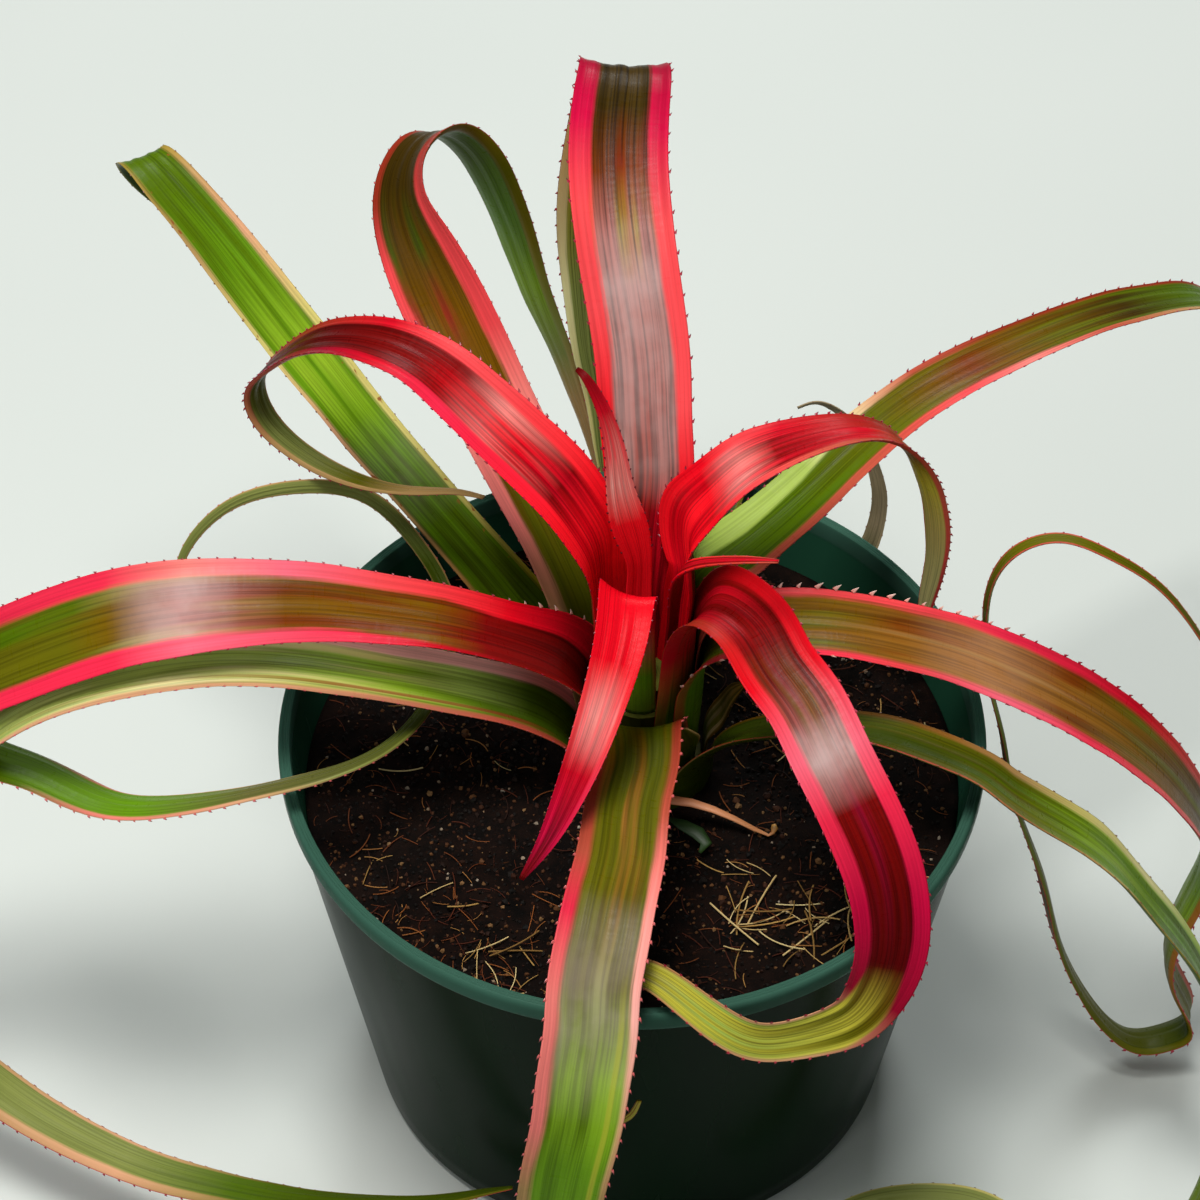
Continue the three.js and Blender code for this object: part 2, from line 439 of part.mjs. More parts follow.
// Stations kept for the solid: close together where the leaf curls, further apart where it is straight
function keptStations(leaf, fine) {
  const kept = [fine[0]];
  fine.forEach((station) => {
    const last = kept[kept.length - 1];
    const bend = THREE.MathUtils.radToDeg(last.tangent.angleTo(station.tangent));
    const gap = station.along - last.along;
    const step = station.up < leaf.top + 4 && last.up < leaf.top + 4 ? SHEATH_STEP : STEP;
    if (gap >= step || (bend > 27 && gap > 3)) kept.push(station);
  });
  const end = fine[fine.length - 1];
  if (end.along - kept[kept.length - 1].along < STEP / 2) kept.pop();
  kept.push(end);
  return kept;
}

// A leaf is a thin closed strip: a channelled face above, another below, and margins that taper to
// an edge with a tooth at each station
function makeLeaf(leaf) {
  const fine = leafStations(leaf);
  const stations = keptStations(leaf, fine);
  const total = fine[fine.length - 1].along;
  const sheathEnd = fine.find((station) => station.up > leaf.top).along;
  const points = [];
  const chains = [];
  stations.forEach((station, index) => {
    const beyond = Math.max(0, station.along - sheathEnd);
    const shellRadius = SHELL_RADII[leaf.shell] + flare(station.up);
    const radius = Math.min(shellRadius + 0.45 * Math.min(beyond, 70), Math.max(shellRadius, 60));
    const channel = beyond > 0 ? Math.min(radius, 1.5 * station.width + 8) : radius;
    const taper = 1 - station.along / total;
    const thick = SHEATH_THICKNESS + (BLADE_THICKNESS - SHEATH_THICKNESS)
      * THREE.MathUtils.smoothstep(beyond, 0, 20);
    const thickness = thick - (thick - TIP_THICKNESS) * THREE.MathUtils.smoothstep(1 - taper, 0.6, 1);
    const chain = { upper: [], lower: [] };
    for (let k = 0; k <= ACROSS; k += 1) {
      const v = (2 * k) / ACROSS - 1;
      const angle = (v * station.width) / (2 * channel);
      const half = (thickness / 2) * (1 - 0.35 * v * v);
      const base = station.point.clone()
        .addScaledVector(station.across, channel * Math.sin(angle))
        .addScaledVector(station.face, channel * (1 - Math.cos(angle)));
      const normal = station.face.clone().multiplyScalar(Math.cos(angle))
        .addScaledVector(station.across, -Math.sin(angle));
      const edge = k === 0 || k === ACROSS;
      points.push(base.clone().addScaledVector(normal, edge ? 0 : half));
      chain.upper.push(points.length - 1);
      if (edge) {
        chain.lower.push(points.length - 1);
      } else {
        points.push(base.clone().addScaledVector(normal, -half));
        chain.lower.push(points.length - 1);
      }
    }
    chain.station = station;
    chain.toothed = index > 0 && beyond > 4 && index < stations.length - 1;
    chains.push(chain);
  });
  const faces = [];
  for (let i = 0; i < chains.length - 1; i += 1) {
    const a = chains[i];
    const b = chains[i + 1];
    for (let k = 0; k < ACROSS; k += 1) {
      const outer = k === 0 ? 0 : k + 1;
      const inner = k === 0 ? 1 : k;
      if (a.toothed && (k === 0 || k === ACROSS - 1)) {
        // The tooth's root runs from this station's margin, and its point leans towards the leaf's tip
        const sign = k === 0 ? -1 : 1;
        const root = points[a.upper[outer]];
        const ahead = points[b.upper[outer]].clone().sub(root);
        const reach = Math.min(TOOTH_LENGTH, 0.3 * a.station.width + 0.5);
        const heel = points.push(root.clone().addScaledVector(ahead, TOOTH_BASE / ahead.length())) - 1;
        const point = points.push(root.clone()
          .addScaledVector(ahead.normalize(), TOOTH_BASE * 1.1)
          .addScaledVector(a.station.across, sign * reach)) - 1;
        [[a.upper, b.upper, sign < 0], [a.lower, b.lower, sign > 0]].forEach(([near, far, straight]) => {
          const fan = [
            [near[inner], near[outer], point], [near[inner], point, heel],
            [near[inner], heel, far[inner]], [heel, far[outer], far[inner]],
          ];
          fan.forEach((face) => faces.push(straight ? face : face.reverse()));
        });
        continue;
      }
      faces.push([a.upper[k], b.upper[k], b.upper[k + 1]], [a.upper[k], b.upper[k + 1], a.upper[k + 1]]);
      faces.push([a.lower[k], b.lower[k + 1], b.lower[k]], [a.lower[k], a.lower[k + 1], b.lower[k + 1]]);
    }
  }
  [[chains[0], true], [chains[chains.length - 1], false]].forEach(([{ upper, lower }, atFoot]) => {
    for (let k = 0; k < ACROSS; k += 1) {
      const cap = [];
      if (k > 0) cap.push([lower[k], upper[k], upper[k + 1]]);
      if (k < ACROSS - 1) cap.push([lower[k], upper[k + 1], lower[k + 1]]);
      cap.forEach((face) => faces.push(atFoot ? face : face.reverse()));
    }
  });
  return closedGeometry(points.map((point) => point.toArray()), faces);
}

const plant = new THREE.Group();
plant.position.set(STEM_X, STEM_Y, SOIL_LEVEL);
const potted = new THREE.Group();
potted.add(plant);

function addMesh(parent, name, geometry, finish) {
  const mesh = new THREE.Mesh(geometry, finish);
  mesh.name = name;
  parent.add(mesh);
}

addMesh(potted, 'pot', makePot(), material(POT_GREEN, 0.3));
addMesh(potted, 'potting_mix', makeSoil(), material(SOIL_BROWN, 0.95));
addMesh(plant, 'stem', makeStem(), material(STEM_TAN, 0.8));
LEAVES.forEach((leaf) => addMesh(plant, leaf.name, makeLeaf(leaf), material(leaf.color, 0.4)));

export default potted;
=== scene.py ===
# A bromeliad with long, trailing, toothed leaves in red, pink and green, in a round nursery pot.
# The sizes below are in millimetres, and a point is turned into Blender's metres by MM. The plant
# stands a little behind the middle of the pot, and its leaves clasp it with nested sheaths.
import math

import bpy
import numpy as np
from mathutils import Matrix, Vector, noise


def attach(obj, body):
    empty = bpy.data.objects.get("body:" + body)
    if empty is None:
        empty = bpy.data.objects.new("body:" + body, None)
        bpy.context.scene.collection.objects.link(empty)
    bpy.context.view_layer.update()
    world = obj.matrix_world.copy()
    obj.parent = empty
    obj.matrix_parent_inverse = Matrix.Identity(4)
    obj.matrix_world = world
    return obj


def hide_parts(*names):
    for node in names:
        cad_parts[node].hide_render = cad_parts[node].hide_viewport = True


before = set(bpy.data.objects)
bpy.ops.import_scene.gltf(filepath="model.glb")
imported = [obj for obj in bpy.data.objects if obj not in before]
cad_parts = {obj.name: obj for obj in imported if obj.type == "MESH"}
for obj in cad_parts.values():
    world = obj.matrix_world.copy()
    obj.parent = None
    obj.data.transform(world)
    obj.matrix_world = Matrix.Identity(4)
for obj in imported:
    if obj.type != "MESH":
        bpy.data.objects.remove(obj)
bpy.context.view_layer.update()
MM = 0.001


# The camera looks down at the plant from in front, about arm's length above the bench, and is
# turned slightly to the left.
EYE = (0, -572.83, 811.66)
TILT, TURN = 41.41, 0.75
SENSOR, LENS = 36, 115.84
camera_data = bpy.data.cameras.new("camera")
camera_data.sensor_width = SENSOR
camera_data.lens = LENS
camera = bpy.data.objects.new("camera", camera_data)
camera.location = [part * MM for part in EYE]
camera.rotation_euler = (math.radians(TILT), 0, math.radians(TURN))
bpy.context.scene.collection.objects.link(camera)
bpy.context.scene.camera = camera


# The bench is a plain pale surface, and the light comes from a large soft box overhead, a second
# one behind the plant and a weak one from the front left.
def paint(code):
    """A colour as it is read off a screen, such as #c81e46, turned into Blender's linear values."""
    parts = [int(code[i:i + 2], 16) / 255 for i in (1, 3, 5)]
    return tuple(p / 12.92 if p <= 0.04045 else ((p + 0.055) / 1.055) ** 2.4 for p in parts) + (1,)


def add(tree, kind, inputs=(), **settings):
    """A new node of a tree. Its inputs are set to values, or linked where a socket is given."""
    made = tree.nodes.new(kind)
    for name, value in settings.items():
        setattr(made, name, value)
    for key, value in dict(inputs).items():
        if isinstance(value, bpy.types.NodeSocket):
            tree.links.new(value, made.inputs[key])
        else:
            made.inputs[key].default_value = value
    return made


def new_material(name, roughness=None, specular=None):
    """An empty material, with its tree and its surface shader, and its gloss where that is even."""
    finish = bpy.data.materials.new(name)
    finish.use_nodes = True
    shader = finish.node_tree.nodes["Principled BSDF"]
    for word, value in (("Roughness", roughness), ("Specular IOR Level", specular)):
        if value is not None:
            shader.inputs[word].default_value = value
    return finish, finish.node_tree, shader


def grains(tree, place, scale, detail=2.0, roughness=0.5):
    """A noise between 0 and 1 at a place."""
    return add(tree, "ShaderNodeTexNoise", {"Vector": place, "Scale": scale, "Detail": detail,
                                            "Roughness": roughness}).outputs["Fac"]


def between(tree, value, low, high, to_low=0.0, to_high=1.0):
    """A smooth step of a value from one level to another."""
    made = add(tree, "ShaderNodeMapRange", {"Value": value, "From Min": low, "From Max": high,
                                            "To Min": to_low, "To Max": to_high},
               interpolation_type="SMOOTHSTEP")
    return made.outputs["Result"]


def blend(tree, share, first, second, way="MIX"):
    """Two colours mixed by a share."""
    made = add(tree, "ShaderNodeMix", {0: share, 6: first, 7: second}, data_type="RGBA",
               blend_type=way)
    return made.outputs[2]


def sums(tree, way, first, second=0.0):
    """A sum of two numbers, such as ADD, MULTIPLY or GREATER_THAN."""
    return add(tree, "ShaderNodeMath", {0: first, 1: second}, operation=way).outputs[0]


def new_piece(name, points, faces, finish):
    """A mesh object from points in millimetres, shaded smooth, with one material."""
    mesh = bpy.data.meshes.new(name)
    mesh.from_pydata([tuple(p) for p in np.asarray(points, float) * MM], [], faces)
    mesh.polygons.foreach_set("use_smooth", [True] * len(mesh.polygons))
    if finish:
        mesh.materials.append(finish)
    piece = bpy.data.objects.new(name, mesh)
    bpy.context.scene.collection.objects.link(piece)
    return piece


bench_paint, tree, shader = new_material("bench_paint", roughness=0.9)
place = add(tree, "ShaderNodeTexCoord").outputs["Object"]
cloud = grains(tree, place, 3.0)
tree.links.new(blend(tree, cloud, paint("#c6cdc8"), paint("#d4d9d4")), shader.inputs["Base Color"])
BENCH_HALF = 4000
BENCH_TOP = -0.5
corners = [(x * BENCH_HALF, y * BENCH_HALF, BENCH_TOP) for x, y in ((-1, -1), (1, -1), (1, 1), (-1, 1))]
bench = new_piece("bench", corners, [(0, 1, 2, 3)], bench_paint)

world = bpy.data.worlds.new("studio")
world.use_nodes = True
sky = world.node_tree.nodes["Background"].inputs
sky["Color"].default_value = (0.93, 0.97, 1.0, 1)
sky["Strength"].default_value = 0.16
bpy.context.scene.world = world
bpy.context.scene.view_settings.view_transform = "Standard"


def soft_box(name, place, aim, size, power, tint):
    """A square area light that points at a place, with its measures in metres and watts."""
    data = bpy.data.lights.new(name, "AREA")
    data.size = size
    data.energy = power
    data.color = tint
    lamp = bpy.data.objects.new(name, data)
    lamp.location = place
    lamp.rotation_euler = (Vector(aim) - Vector(place)).to_track_quat("-Z", "Y").to_euler()
    bpy.context.scene.collection.objects.link(lamp)


soft_box("overhead", (-0.15, -0.1, 1.3), (0, 0, 0.1), size=0.4, power=14, tint=(1.0, 0.98, 0.95))
soft_box("behind", (0.1, 1.15, 1.05), (0, 0, 0.15), size=0.5, power=9, tint=(0.98, 1.0, 1.0))
soft_box("front", (-0.9, -0.9, 0.8), (0, 0, 0.1), size=0.8, power=4, tint=(1.0, 1.0, 1.0))


# The pot is one glossy, dark green plastic moulding: a tapered wall, a floor with drain holes, and
# a stepped lip whose top carries three fine moulded rings.
POT_HEIGHT = 117.5
RIM_RADIUS = 82.5
BASE_RADIUS = 64.5
LIP_HEIGHT = 5
LIP_STEP = 1.4
LIP_FOOT = POT_HEIGHT - LIP_HEIGHT
LIP_RINGS = (1.15, 1.75, 2.35)
WALL = 1.8
FLOOR = 2.4
POT_SIDES = 192
DRAIN_HOLES = 8
DRAIN_RADIUS = 4.5
DRAIN_CIRCLE = BASE_RADIUS - 13
DRILL_SIDES = 24
DRILL_ENDS = (-4, 8)


def pot_radius(height):
    """Radius of the pot's outer face below its lip."""
    return BASE_RADIUS + (RIM_RADIUS - LIP_STEP - BASE_RADIUS) * height / LIP_FOOT


def circle(radius, count, x=0, y=0):
    """Points set evenly round a circle."""
    turns = [2 * math.pi * i / count for i in range(count)]
    return [(x + radius * math.cos(turn), y + radius * math.sin(turn)) for turn in turns]


def turned(name, profile, sides, finish):
    """A closed body of revolution about the pot's axis, from a profile that starts and ends on it."""
    points = [(0, 0, profile[0][1])]
    for radius, height in profile[1:-1]:
        points += [(x, y, height) for x, y in circle(radius, sides)]
    points.append((0, 0, profile[-1][1]))
    rings = len(profile) - 2
    faces = []
    for i in range(sides):
        j = (i + 1) % sides
        faces.append((0, 1 + j, 1 + i))
        for ring in range(rings - 1):
            a = 1 + ring * sides
            faces.append((a + i, a + j, a + sides + j, a + sides + i))
        a = 1 + (rings - 1) * sides
        faces.append((a + i, a + j, len(points) - 1))
    return new_piece(name, points, faces, finish)


def stretched(tree, place, scale, turn=0.0):
    """A place scaled along each axis and turned about the upright one, for a noise with a direction."""
    return add(tree, "ShaderNodeMapping", {"Vector": place, "Rotation": (0, 0, turn),
                                           "Scale": scale}).outputs[0]


pot_plastic, tree, shader = new_material("pot_plastic", specular=0.012)
place = add(tree, "ShaderNodeTexCoord").outputs["Object"]
height = add(tree, "ShaderNodeSeparateXYZ", {0: place}).outputs[2]
flow = grains(tree, stretched(tree, place, (1, 1, 0.15)), 60.0, 3.0)
plastic = blend(tree, flow, paint("#040f06"), paint("#0b2411"))
radius = add(tree, "ShaderNodeVectorMath", {0: stretched(tree, place, (1, 1, 0))},
             operation="LENGTH").outputs[1]
taper = sums(tree, "MULTIPLY", height, (RIM_RADIUS - LIP_STEP - BASE_RADIUS) / LIP_FOOT)
foot_radius = sums(tree, "SUBTRACT", radius, taper)
# The inner face of the wall is painted a lighter green than the outer: painted light, as the inside is lit
# where the outside is in shade.
inner, outer = (BASE_RADIUS - 0.7 * WALL) * MM, (BASE_RADIUS - 0.3 * WALL) * MM
plastic = blend(tree, between(tree, foot_radius, inner, outer, 1.0, 0.0), plastic, paint("#234f3b"))
# The lip is painted a paler green all round: a painted highlight where the light catches it.
lit_lip = between(tree, height, (LIP_FOOT - 0.6) * MM, (LIP_FOOT + 0.6) * MM)
plastic = blend(tree, lit_lip, plastic, paint("#35584a"))
dust = between(tree, grains(tree, place, 900.0, 3.0, 0.7), 0.68, 0.82, 0.0, 0.12)
plastic = blend(tree, dust, plastic, paint("#7c9484"))
tree.links.new(plastic, shader.inputs["Base Color"])
tree.links.new(between(tree, flow, 0.3, 0.8, 0.2, 0.3), shader.inputs["Roughness"])
ripple = add(tree, "ShaderNodeBump", {"Strength": 0.12, "Distance": 0.0004, "Height": flow})
tree.links.new(ripple.outputs[0], shader.inputs["Normal"])

inside = pot_radius(LIP_FOOT) - WALL
profile = [(0, 0), (BASE_RADIUS - 4, 0), (BASE_RADIUS - 2.4, 0.15), (BASE_RADIUS - 1.0, 0.7),
           (pot_radius(2.5), 2.5)]
profile += [(pot_radius(h), h) for h in (10, 30, 55, 80, 100, LIP_FOOT - 2.2)]
profile += [(pot_radius(LIP_FOOT - 1.5), LIP_FOOT - 1.5), (pot_radius(LIP_FOOT) + 0.5, LIP_FOOT - 0.6),
            (RIM_RADIUS - 0.4, LIP_FOOT - 0.1), (RIM_RADIUS - 0.1, LIP_FOOT + 0.4),
            (RIM_RADIUS, LIP_FOOT + 1.2), (RIM_RADIUS, POT_HEIGHT - 1.5),
            (RIM_RADIUS - 0.12, POT_HEIGHT - 0.7), (RIM_RADIUS - 0.45, POT_HEIGHT - 0.2),
            (RIM_RADIUS - 0.8, POT_HEIGHT)]
for ring in LIP_RINGS:
    profile += [(RIM_RADIUS - ring, POT_HEIGHT - 0.02), (RIM_RADIUS - ring - 0.15, POT_HEIGHT - 0.3),
                (RIM_RADIUS - ring - 0.3, POT_HEIGHT - 0.02)]
profile += [(inside + 0.5, POT_HEIGHT - 0.1), (inside + 0.25, POT_HEIGHT - 0.6),
            (inside + 0.1, LIP_FOOT), (inside, LIP_FOOT - 1)]
profile += [(pot_radius(h) - WALL, h) for h in (100, 90, 60, 30, 5)]
profile += [(pot_radius(FLOOR) - WALL - 1.5, FLOOR + 0.4), (pot_radius(FLOOR) - WALL - 3, FLOOR),
            (0, FLOOR)]
pot = turned("pot_moulding", profile, POT_SIDES, pot_plastic)

points, faces = [], []
for k in range(DRAIN_HOLES):
    turn = 2 * math.pi * (k + 0.5) / DRAIN_HOLES
    x, y = math.cos(turn) * DRAIN_CIRCLE, math.sin(turn) * DRAIN_CIRCLE
    start = len(points)
    for level in DRILL_ENDS:
        points += [(*spot, level) for spot in circle(DRAIN_RADIUS, DRILL_SIDES, x, y)]
    low = [start + i for i in range(DRILL_SIDES)]
    faces += [(a, b, b + DRILL_SIDES, a + DRILL_SIDES) for a, b in zip(low, low[1:] + low[:1])]
    faces += [tuple(reversed(low)), tuple(i + DRILL_SIDES for i in low)]
drills = new_piece("drills", points, faces, None)
drilled = pot.modifiers.new("drain_holes", "BOOLEAN")
drilled.operation = "DIFFERENCE"
drilled.object = drills
drilled.solver = "EXACT"


def finish_shape(piece):
    """Applies a piece's modifiers: its evaluated mesh becomes its own."""
    graph = bpy.context.evaluated_depsgraph_get()
    made = bpy.data.meshes.new_from_object(piece.evaluated_get(graph))
    made.name = piece.name
    piece.modifiers.clear()
    piece.data = made


finish_shape(pot)
bpy.data.objects.remove(drills)
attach(pot, "root")
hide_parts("pot")


# The potting mix is dark peat and coir, filled to a finger below the lip. It is lumpy on top, level
# at the wall and about the stem, and one solid down to the pot's floor.
SOIL = 99.5
STEM = (2, 6)
HOLE_RADIUS = 18.2
SOIL_GAP = 0.35
SOIL_SINK = 0.6
RINGS, SPOKES = 70, 200


def ease(low, high, value):
    """A smooth step from 0 to 1 as a value goes from low to high."""
    share = min(max((value - low) / (high - low), 0), 1)
    return share * share * (3 - 2 * share)


def soil_height(x, y):
    """Height of the mix: slow swells that fade to a level band at the wall and about the stem."""
    swell = 1.3 * math.sin(x / 13 + 1.3) * math.cos(y / 11) + 0.8 * math.sin((x + 1.4 * y) / 7.5)
    from_wall = ease(0, 9, pot_radius(SOIL) - WALL - math.hypot(x, y))
    from_stem = ease(HOLE_RADIUS + 1, HOLE_RADIUS + 9, math.hypot(x - STEM[0], y - STEM[1]))
    return SOIL - SOIL_SINK + swell * from_wall * from_stem


def lumps(x, y):
    """Clods and pits on the mix, a few millimetres across."""
    clods = noise.fractal(Vector((x / 7, y / 7, 3)), 1.0, 2.1, 4)
    pits = noise.fractal(Vector((x / 2.2, y / 2.2, 9)), 1.0, 2.1, 3)
    return 0.9 * clods + 0.4 * pits


soil_finish, tree, shader = new_material("peat_and_coir", roughness=0.9, specular=0.1)
place = add(tree, "ShaderNodeTexCoord").outputs["Object"]
clod = grains(tree, place, 160.0, 5.0, 0.65)
speckle = grains(tree, place, 1100.0, 3.0, 0.7)
fibre = grains(tree, stretched(tree, place, (1, 5, 1), turn=0.7), 300.0)
peat = blend(tree, between(tree, clod, 0.35, 0.65), paint("#050302"), paint("#150a06"))
peat = blend(tree, between(tree, speckle, 0.58, 0.78, 0.0, 0.5), peat, paint("#3c2010"))
peat = blend(tree, between(tree, fibre, 0.68, 0.82, 0.0, 0.4), peat, paint("#5c3418"))
tree.links.new(peat, shader.inputs["Base Color"])
crust = add(tree, "ShaderNodeBump", {"Strength": 0.6, "Distance": 0.0006, "Height": speckle})
tree.links.new(crust.outputs[0], shader.inputs["Normal"])

soil_edge = pot_radius(SOIL) - WALL - SOIL_GAP
points = [(0, 0, soil_height(0, 0))]
for ring in range(1, RINGS + 1):
    for x, y in circle(soil_edge * ring / RINGS, SPOKES):
        points.append((x, y, soil_height(x, y) + (lumps(x, y) if ring < RINGS else 0)))
foot = len(points)
low_edge, low_level = pot_radius(FLOOR) - WALL - 3.5, FLOOR + 0.6
points += [(x, y, low_level) for x, y in circle(low_edge, SPOKES)]
points.append((0, 0, low_level))
faces = []
for i in range(SPOKES):
    j = (i + 1) % SPOKES
    faces.append((0, 1 + i, 1 + j))
    for ring in range(RINGS - 1):
        a = 1 + ring * SPOKES
        faces.append((a + i, a + SPOKES + i, a + SPOKES + j, a + j))
    a = 1 + (RINGS - 1) * SPOKES
    faces.append((a + i, foot + i, foot + j, a + j))
    faces.append((foot + j, foot + i, foot + SPOKES))
soil = new_piece("potting_soil", points, faces, soil_finish)
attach(soil, "root")
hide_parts("potting_mix")


# Crumbs of bark and perlite, reddish coir fibres and dry straw lie loose on the mix. Each kind is
# strewn over round patches of its surface, more thickly where patches overlap.
def surface_patches(spots):
    """The mix's surface in round patches, each at a place and with a radius, as a mesh of squares."""
    points, faces = [], []
    for x, y, radius in spots:
        for i in range(1 - radius, radius, 2):
            for j in range(1 - radius, radius, 2):
                off_edge = math.hypot(x + i, y + j) > soil_edge - 2.5
                at_stem = math.hypot(x + i - STEM[0], y + j - STEM[1]) < HOLE_RADIUS + 4
                if off_edge or at_stem or math.hypot(i, j) > radius:
                    continue
                faces.append(tuple(range(len(points), len(points) + 4)))
                for a, b in ((-1, -1), (1, -1), (1, 1), (-1, 1)):
                    px, py = x + i + a, y + j + b
                    points.append((px, py, soil_height(px, py) + lumps(px, py)))
    return points, faces


def crumb_shapes(tree):
    """Three rough crumbs of unit size, as instances to pick from."""
    kinds = add(tree, "GeometryNodeJoinGeometry")
    for k in range(3):
        ball = add(tree, "GeometryNodeMeshIcoSphere", {"Radius": 0.5, "Subdivisions": 1}).outputs[0]
        at = add(tree, "GeometryNodeInputPosition").outputs[0]
        moved = add(tree, "ShaderNodeVectorMath", {0: at, 1: (3.7 * k, 1.3 * k, 0)},
                    operation="ADD").outputs[0]
        rough = add(tree, "ShaderNodeTexNoise", {"Vector": moved, "Scale": 1.7}).outputs["Color"]
        dent = add(tree, "ShaderNodeVectorMath", {0: rough, 1: (0.5, 0.5, 0.5)},
                   operation="SUBTRACT").outputs[0]
        bumpy = add(tree, "GeometryNodeSetPosition", {0: ball, "Offset": dent}).outputs[0]
        one = add(tree, "GeometryNodeGeometryToInstance", {0: bumpy}).outputs[0]
        tree.links.new(one, kinds.inputs[0])
    return kinds.outputs[0]


def strand_shapes(tree, bows, thickness):
    """Thin bent strands of unit length, one for each bow, as instances to pick from."""
    kinds = add(tree, "GeometryNodeJoinGeometry")
    ring = add(tree, "GeometryNodeCurvePrimitiveCircle", {"Resolution": 5, "Radius": thickness}).outputs[0]
    for bow, rise in bows:
        line = add(tree, "GeometryNodeCurveQuadraticBezier",
                   {"Resolution": 7, "Start": (-0.5, 0, 0), "Middle": (0.05, bow, rise),
                    "End": (0.5, 0, 0)}).outputs[0]
        rod = add(tree, "GeometryNodeCurveToMesh",
                  {"Curve": line, "Profile Curve": ring, "Fill Caps": True}).outputs[0]
        one = add(tree, "GeometryNodeGeometryToInstance", {0: rod}).outputs[0]
        tree.links.new(one, kinds.inputs[0])
    return kinds.outputs[0]


def open_tree(name, ground, *numbers):
    """A tree that works on a ground, with named numbers and a seed as its inputs, and these inputs."""
    tree = bpy.data.node_groups.new(name, "GeometryNodeTree")
    tree.interface.new_socket(ground, in_out="INPUT", socket_type="NodeSocketGeometry")
    for word in numbers:
        tree.interface.new_socket(word, in_out="INPUT", socket_type="NodeSocketFloat")
    tree.interface.new_socket("Seed", in_out="INPUT", socket_type="NodeSocketInt")
    tree.interface.new_socket("Made", in_out="OUTPUT", socket_type="NodeSocketGeometry")
    return tree, tree.nodes.new("NodeGroupInput").outputs


def close_tree(tree, instances, finish):
    """Ends a tree: its instances become real and get their material."""
    real = add(tree, "GeometryNodeRealizeInstances", {0: instances}).outputs[0]
    done = add(tree, "GeometryNodeSetMaterial", {0: real, "Material": finish}).outputs[0]
    tree.links.new(done, tree.nodes.new("NodeGroupOutput").inputs[0])


def litter_tree(name, finish, shapes, *shape_settings):
    """A tree that strews shapes over a ground, each turned, tipped, sized and lifted at random."""
    tree, given = open_tree(name, "Ground", "Density", "Smallest", "Largest", "Tilt", "Lift")

    def chance(low, high, seed, kind="FLOAT"):
        """A number or a vector drawn at random between two others."""
        first, out = (0, 0) if kind == "FLOAT_VECTOR" else (2, 1)
        return add(tree, "FunctionNodeRandomValue", {first: low, first + 1: high, "Seed": seed},
                   data_type=kind).outputs[out]

    strewn = add(tree, "GeometryNodeDistributePointsOnFaces",
                 {"Mesh": given["Ground"], "Density": given["Density"], "Seed": given["Seed"]}).outputs[0]
    rise = add(tree, "ShaderNodeCombineXYZ", {2: chance(0.0, given["Lift"], 1)}).outputs[0]
    risen = add(tree, "GeometryNodeSetPosition", {0: strewn, "Offset": rise}).outputs[0]
    down = sums(tree, "MULTIPLY", given["Tilt"], -1.0)
    low = add(tree, "ShaderNodeCombineXYZ", {0: down, 1: down}).outputs[0]
    high = add(tree, "ShaderNodeCombineXYZ", {0: given["Tilt"], 1: given["Tilt"], 2: 6.283}).outputs[0]
    turn = add(tree, "FunctionNodeEulerToRotation", {0: chance(low, high, 2, "FLOAT_VECTOR")}).outputs[0]
    placed = add(tree, "GeometryNodeInstanceOnPoints",
                 {"Points": risen, "Instance": shapes(tree, *shape_settings), "Pick Instance": True,
                  "Rotation": turn, "Scale": chance(given["Smallest"], given["Largest"], 3)}).outputs[0]
    picked = add(tree, "GeometryNodeStoreNamedAttribute",
                 {0: placed, "Name": "pick", "Value": chance(0.0, 1.0, 4)},
                 data_type="FLOAT", domain="INSTANCE").outputs[0]
    close_tree(tree, picked, finish)
    return tree


def set_input(modifier, word, value):
    """Sets a tree's named input by its socket's identifier."""
    for socket in modifier.node_group.interface.items_tree:
        if socket.item_type == "SOCKET" and socket.in_out == "INPUT" and socket.name == word:
            modifier[socket.identifier] = value


def ramp(tree, share, stops, total):
    """Colours or strengths along a length, from stops at places in the same unit as the total."""
    made = add(tree, "ShaderNodeValToRGB", {0: share})
    band = made.color_ramp
    for i, (place, code) in enumerate(stops.items()):
        level = min(max(place / total, 0), 1)
        stop = band.elements[i] if i < 2 else band.elements.new(level)
        stop.position = level
        stop.color = paint(code) if isinstance(code, str) else (code, code, code, 1)
    while len(band.elements) > len(stops):
        band.elements.remove(band.elements[-1])
    return made.outputs[0]


def attribute(tree, word, output="Fac"):
    """A value that is stored on the mesh under a name."""
    return add(tree, "ShaderNodeAttribute", attribute_name=word).outputs[output]


def litter(name, colours, spots, shapes, *shape_settings, density, smallest, largest, tilt, lift, seed):
    """One kind of litter as a piece, with sizes in millimetres and colours picked by chance."""
    finish, tree, shader = new_material(name, roughness=0.75, specular=0.2)
    tree.links.new(ramp(tree, attribute(tree, "pick"), colours, 1), shader.inputs["Base Color"])
    piece = new_piece(name, *surface_patches(spots), None)
    strewer = piece.modifiers.new("strewn", "NODES")
    strewer.node_group = litter_tree(name, finish, shapes, *shape_settings)
    for word, value in (("Density", density / MM ** 2), ("Smallest", smallest * MM),
                        ("Largest", largest * MM), ("Tilt", tilt), ("Lift", lift * MM), ("Seed", seed)):
        set_input(strewer, word, value)
    finish_shape(piece)
    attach(piece, "root")


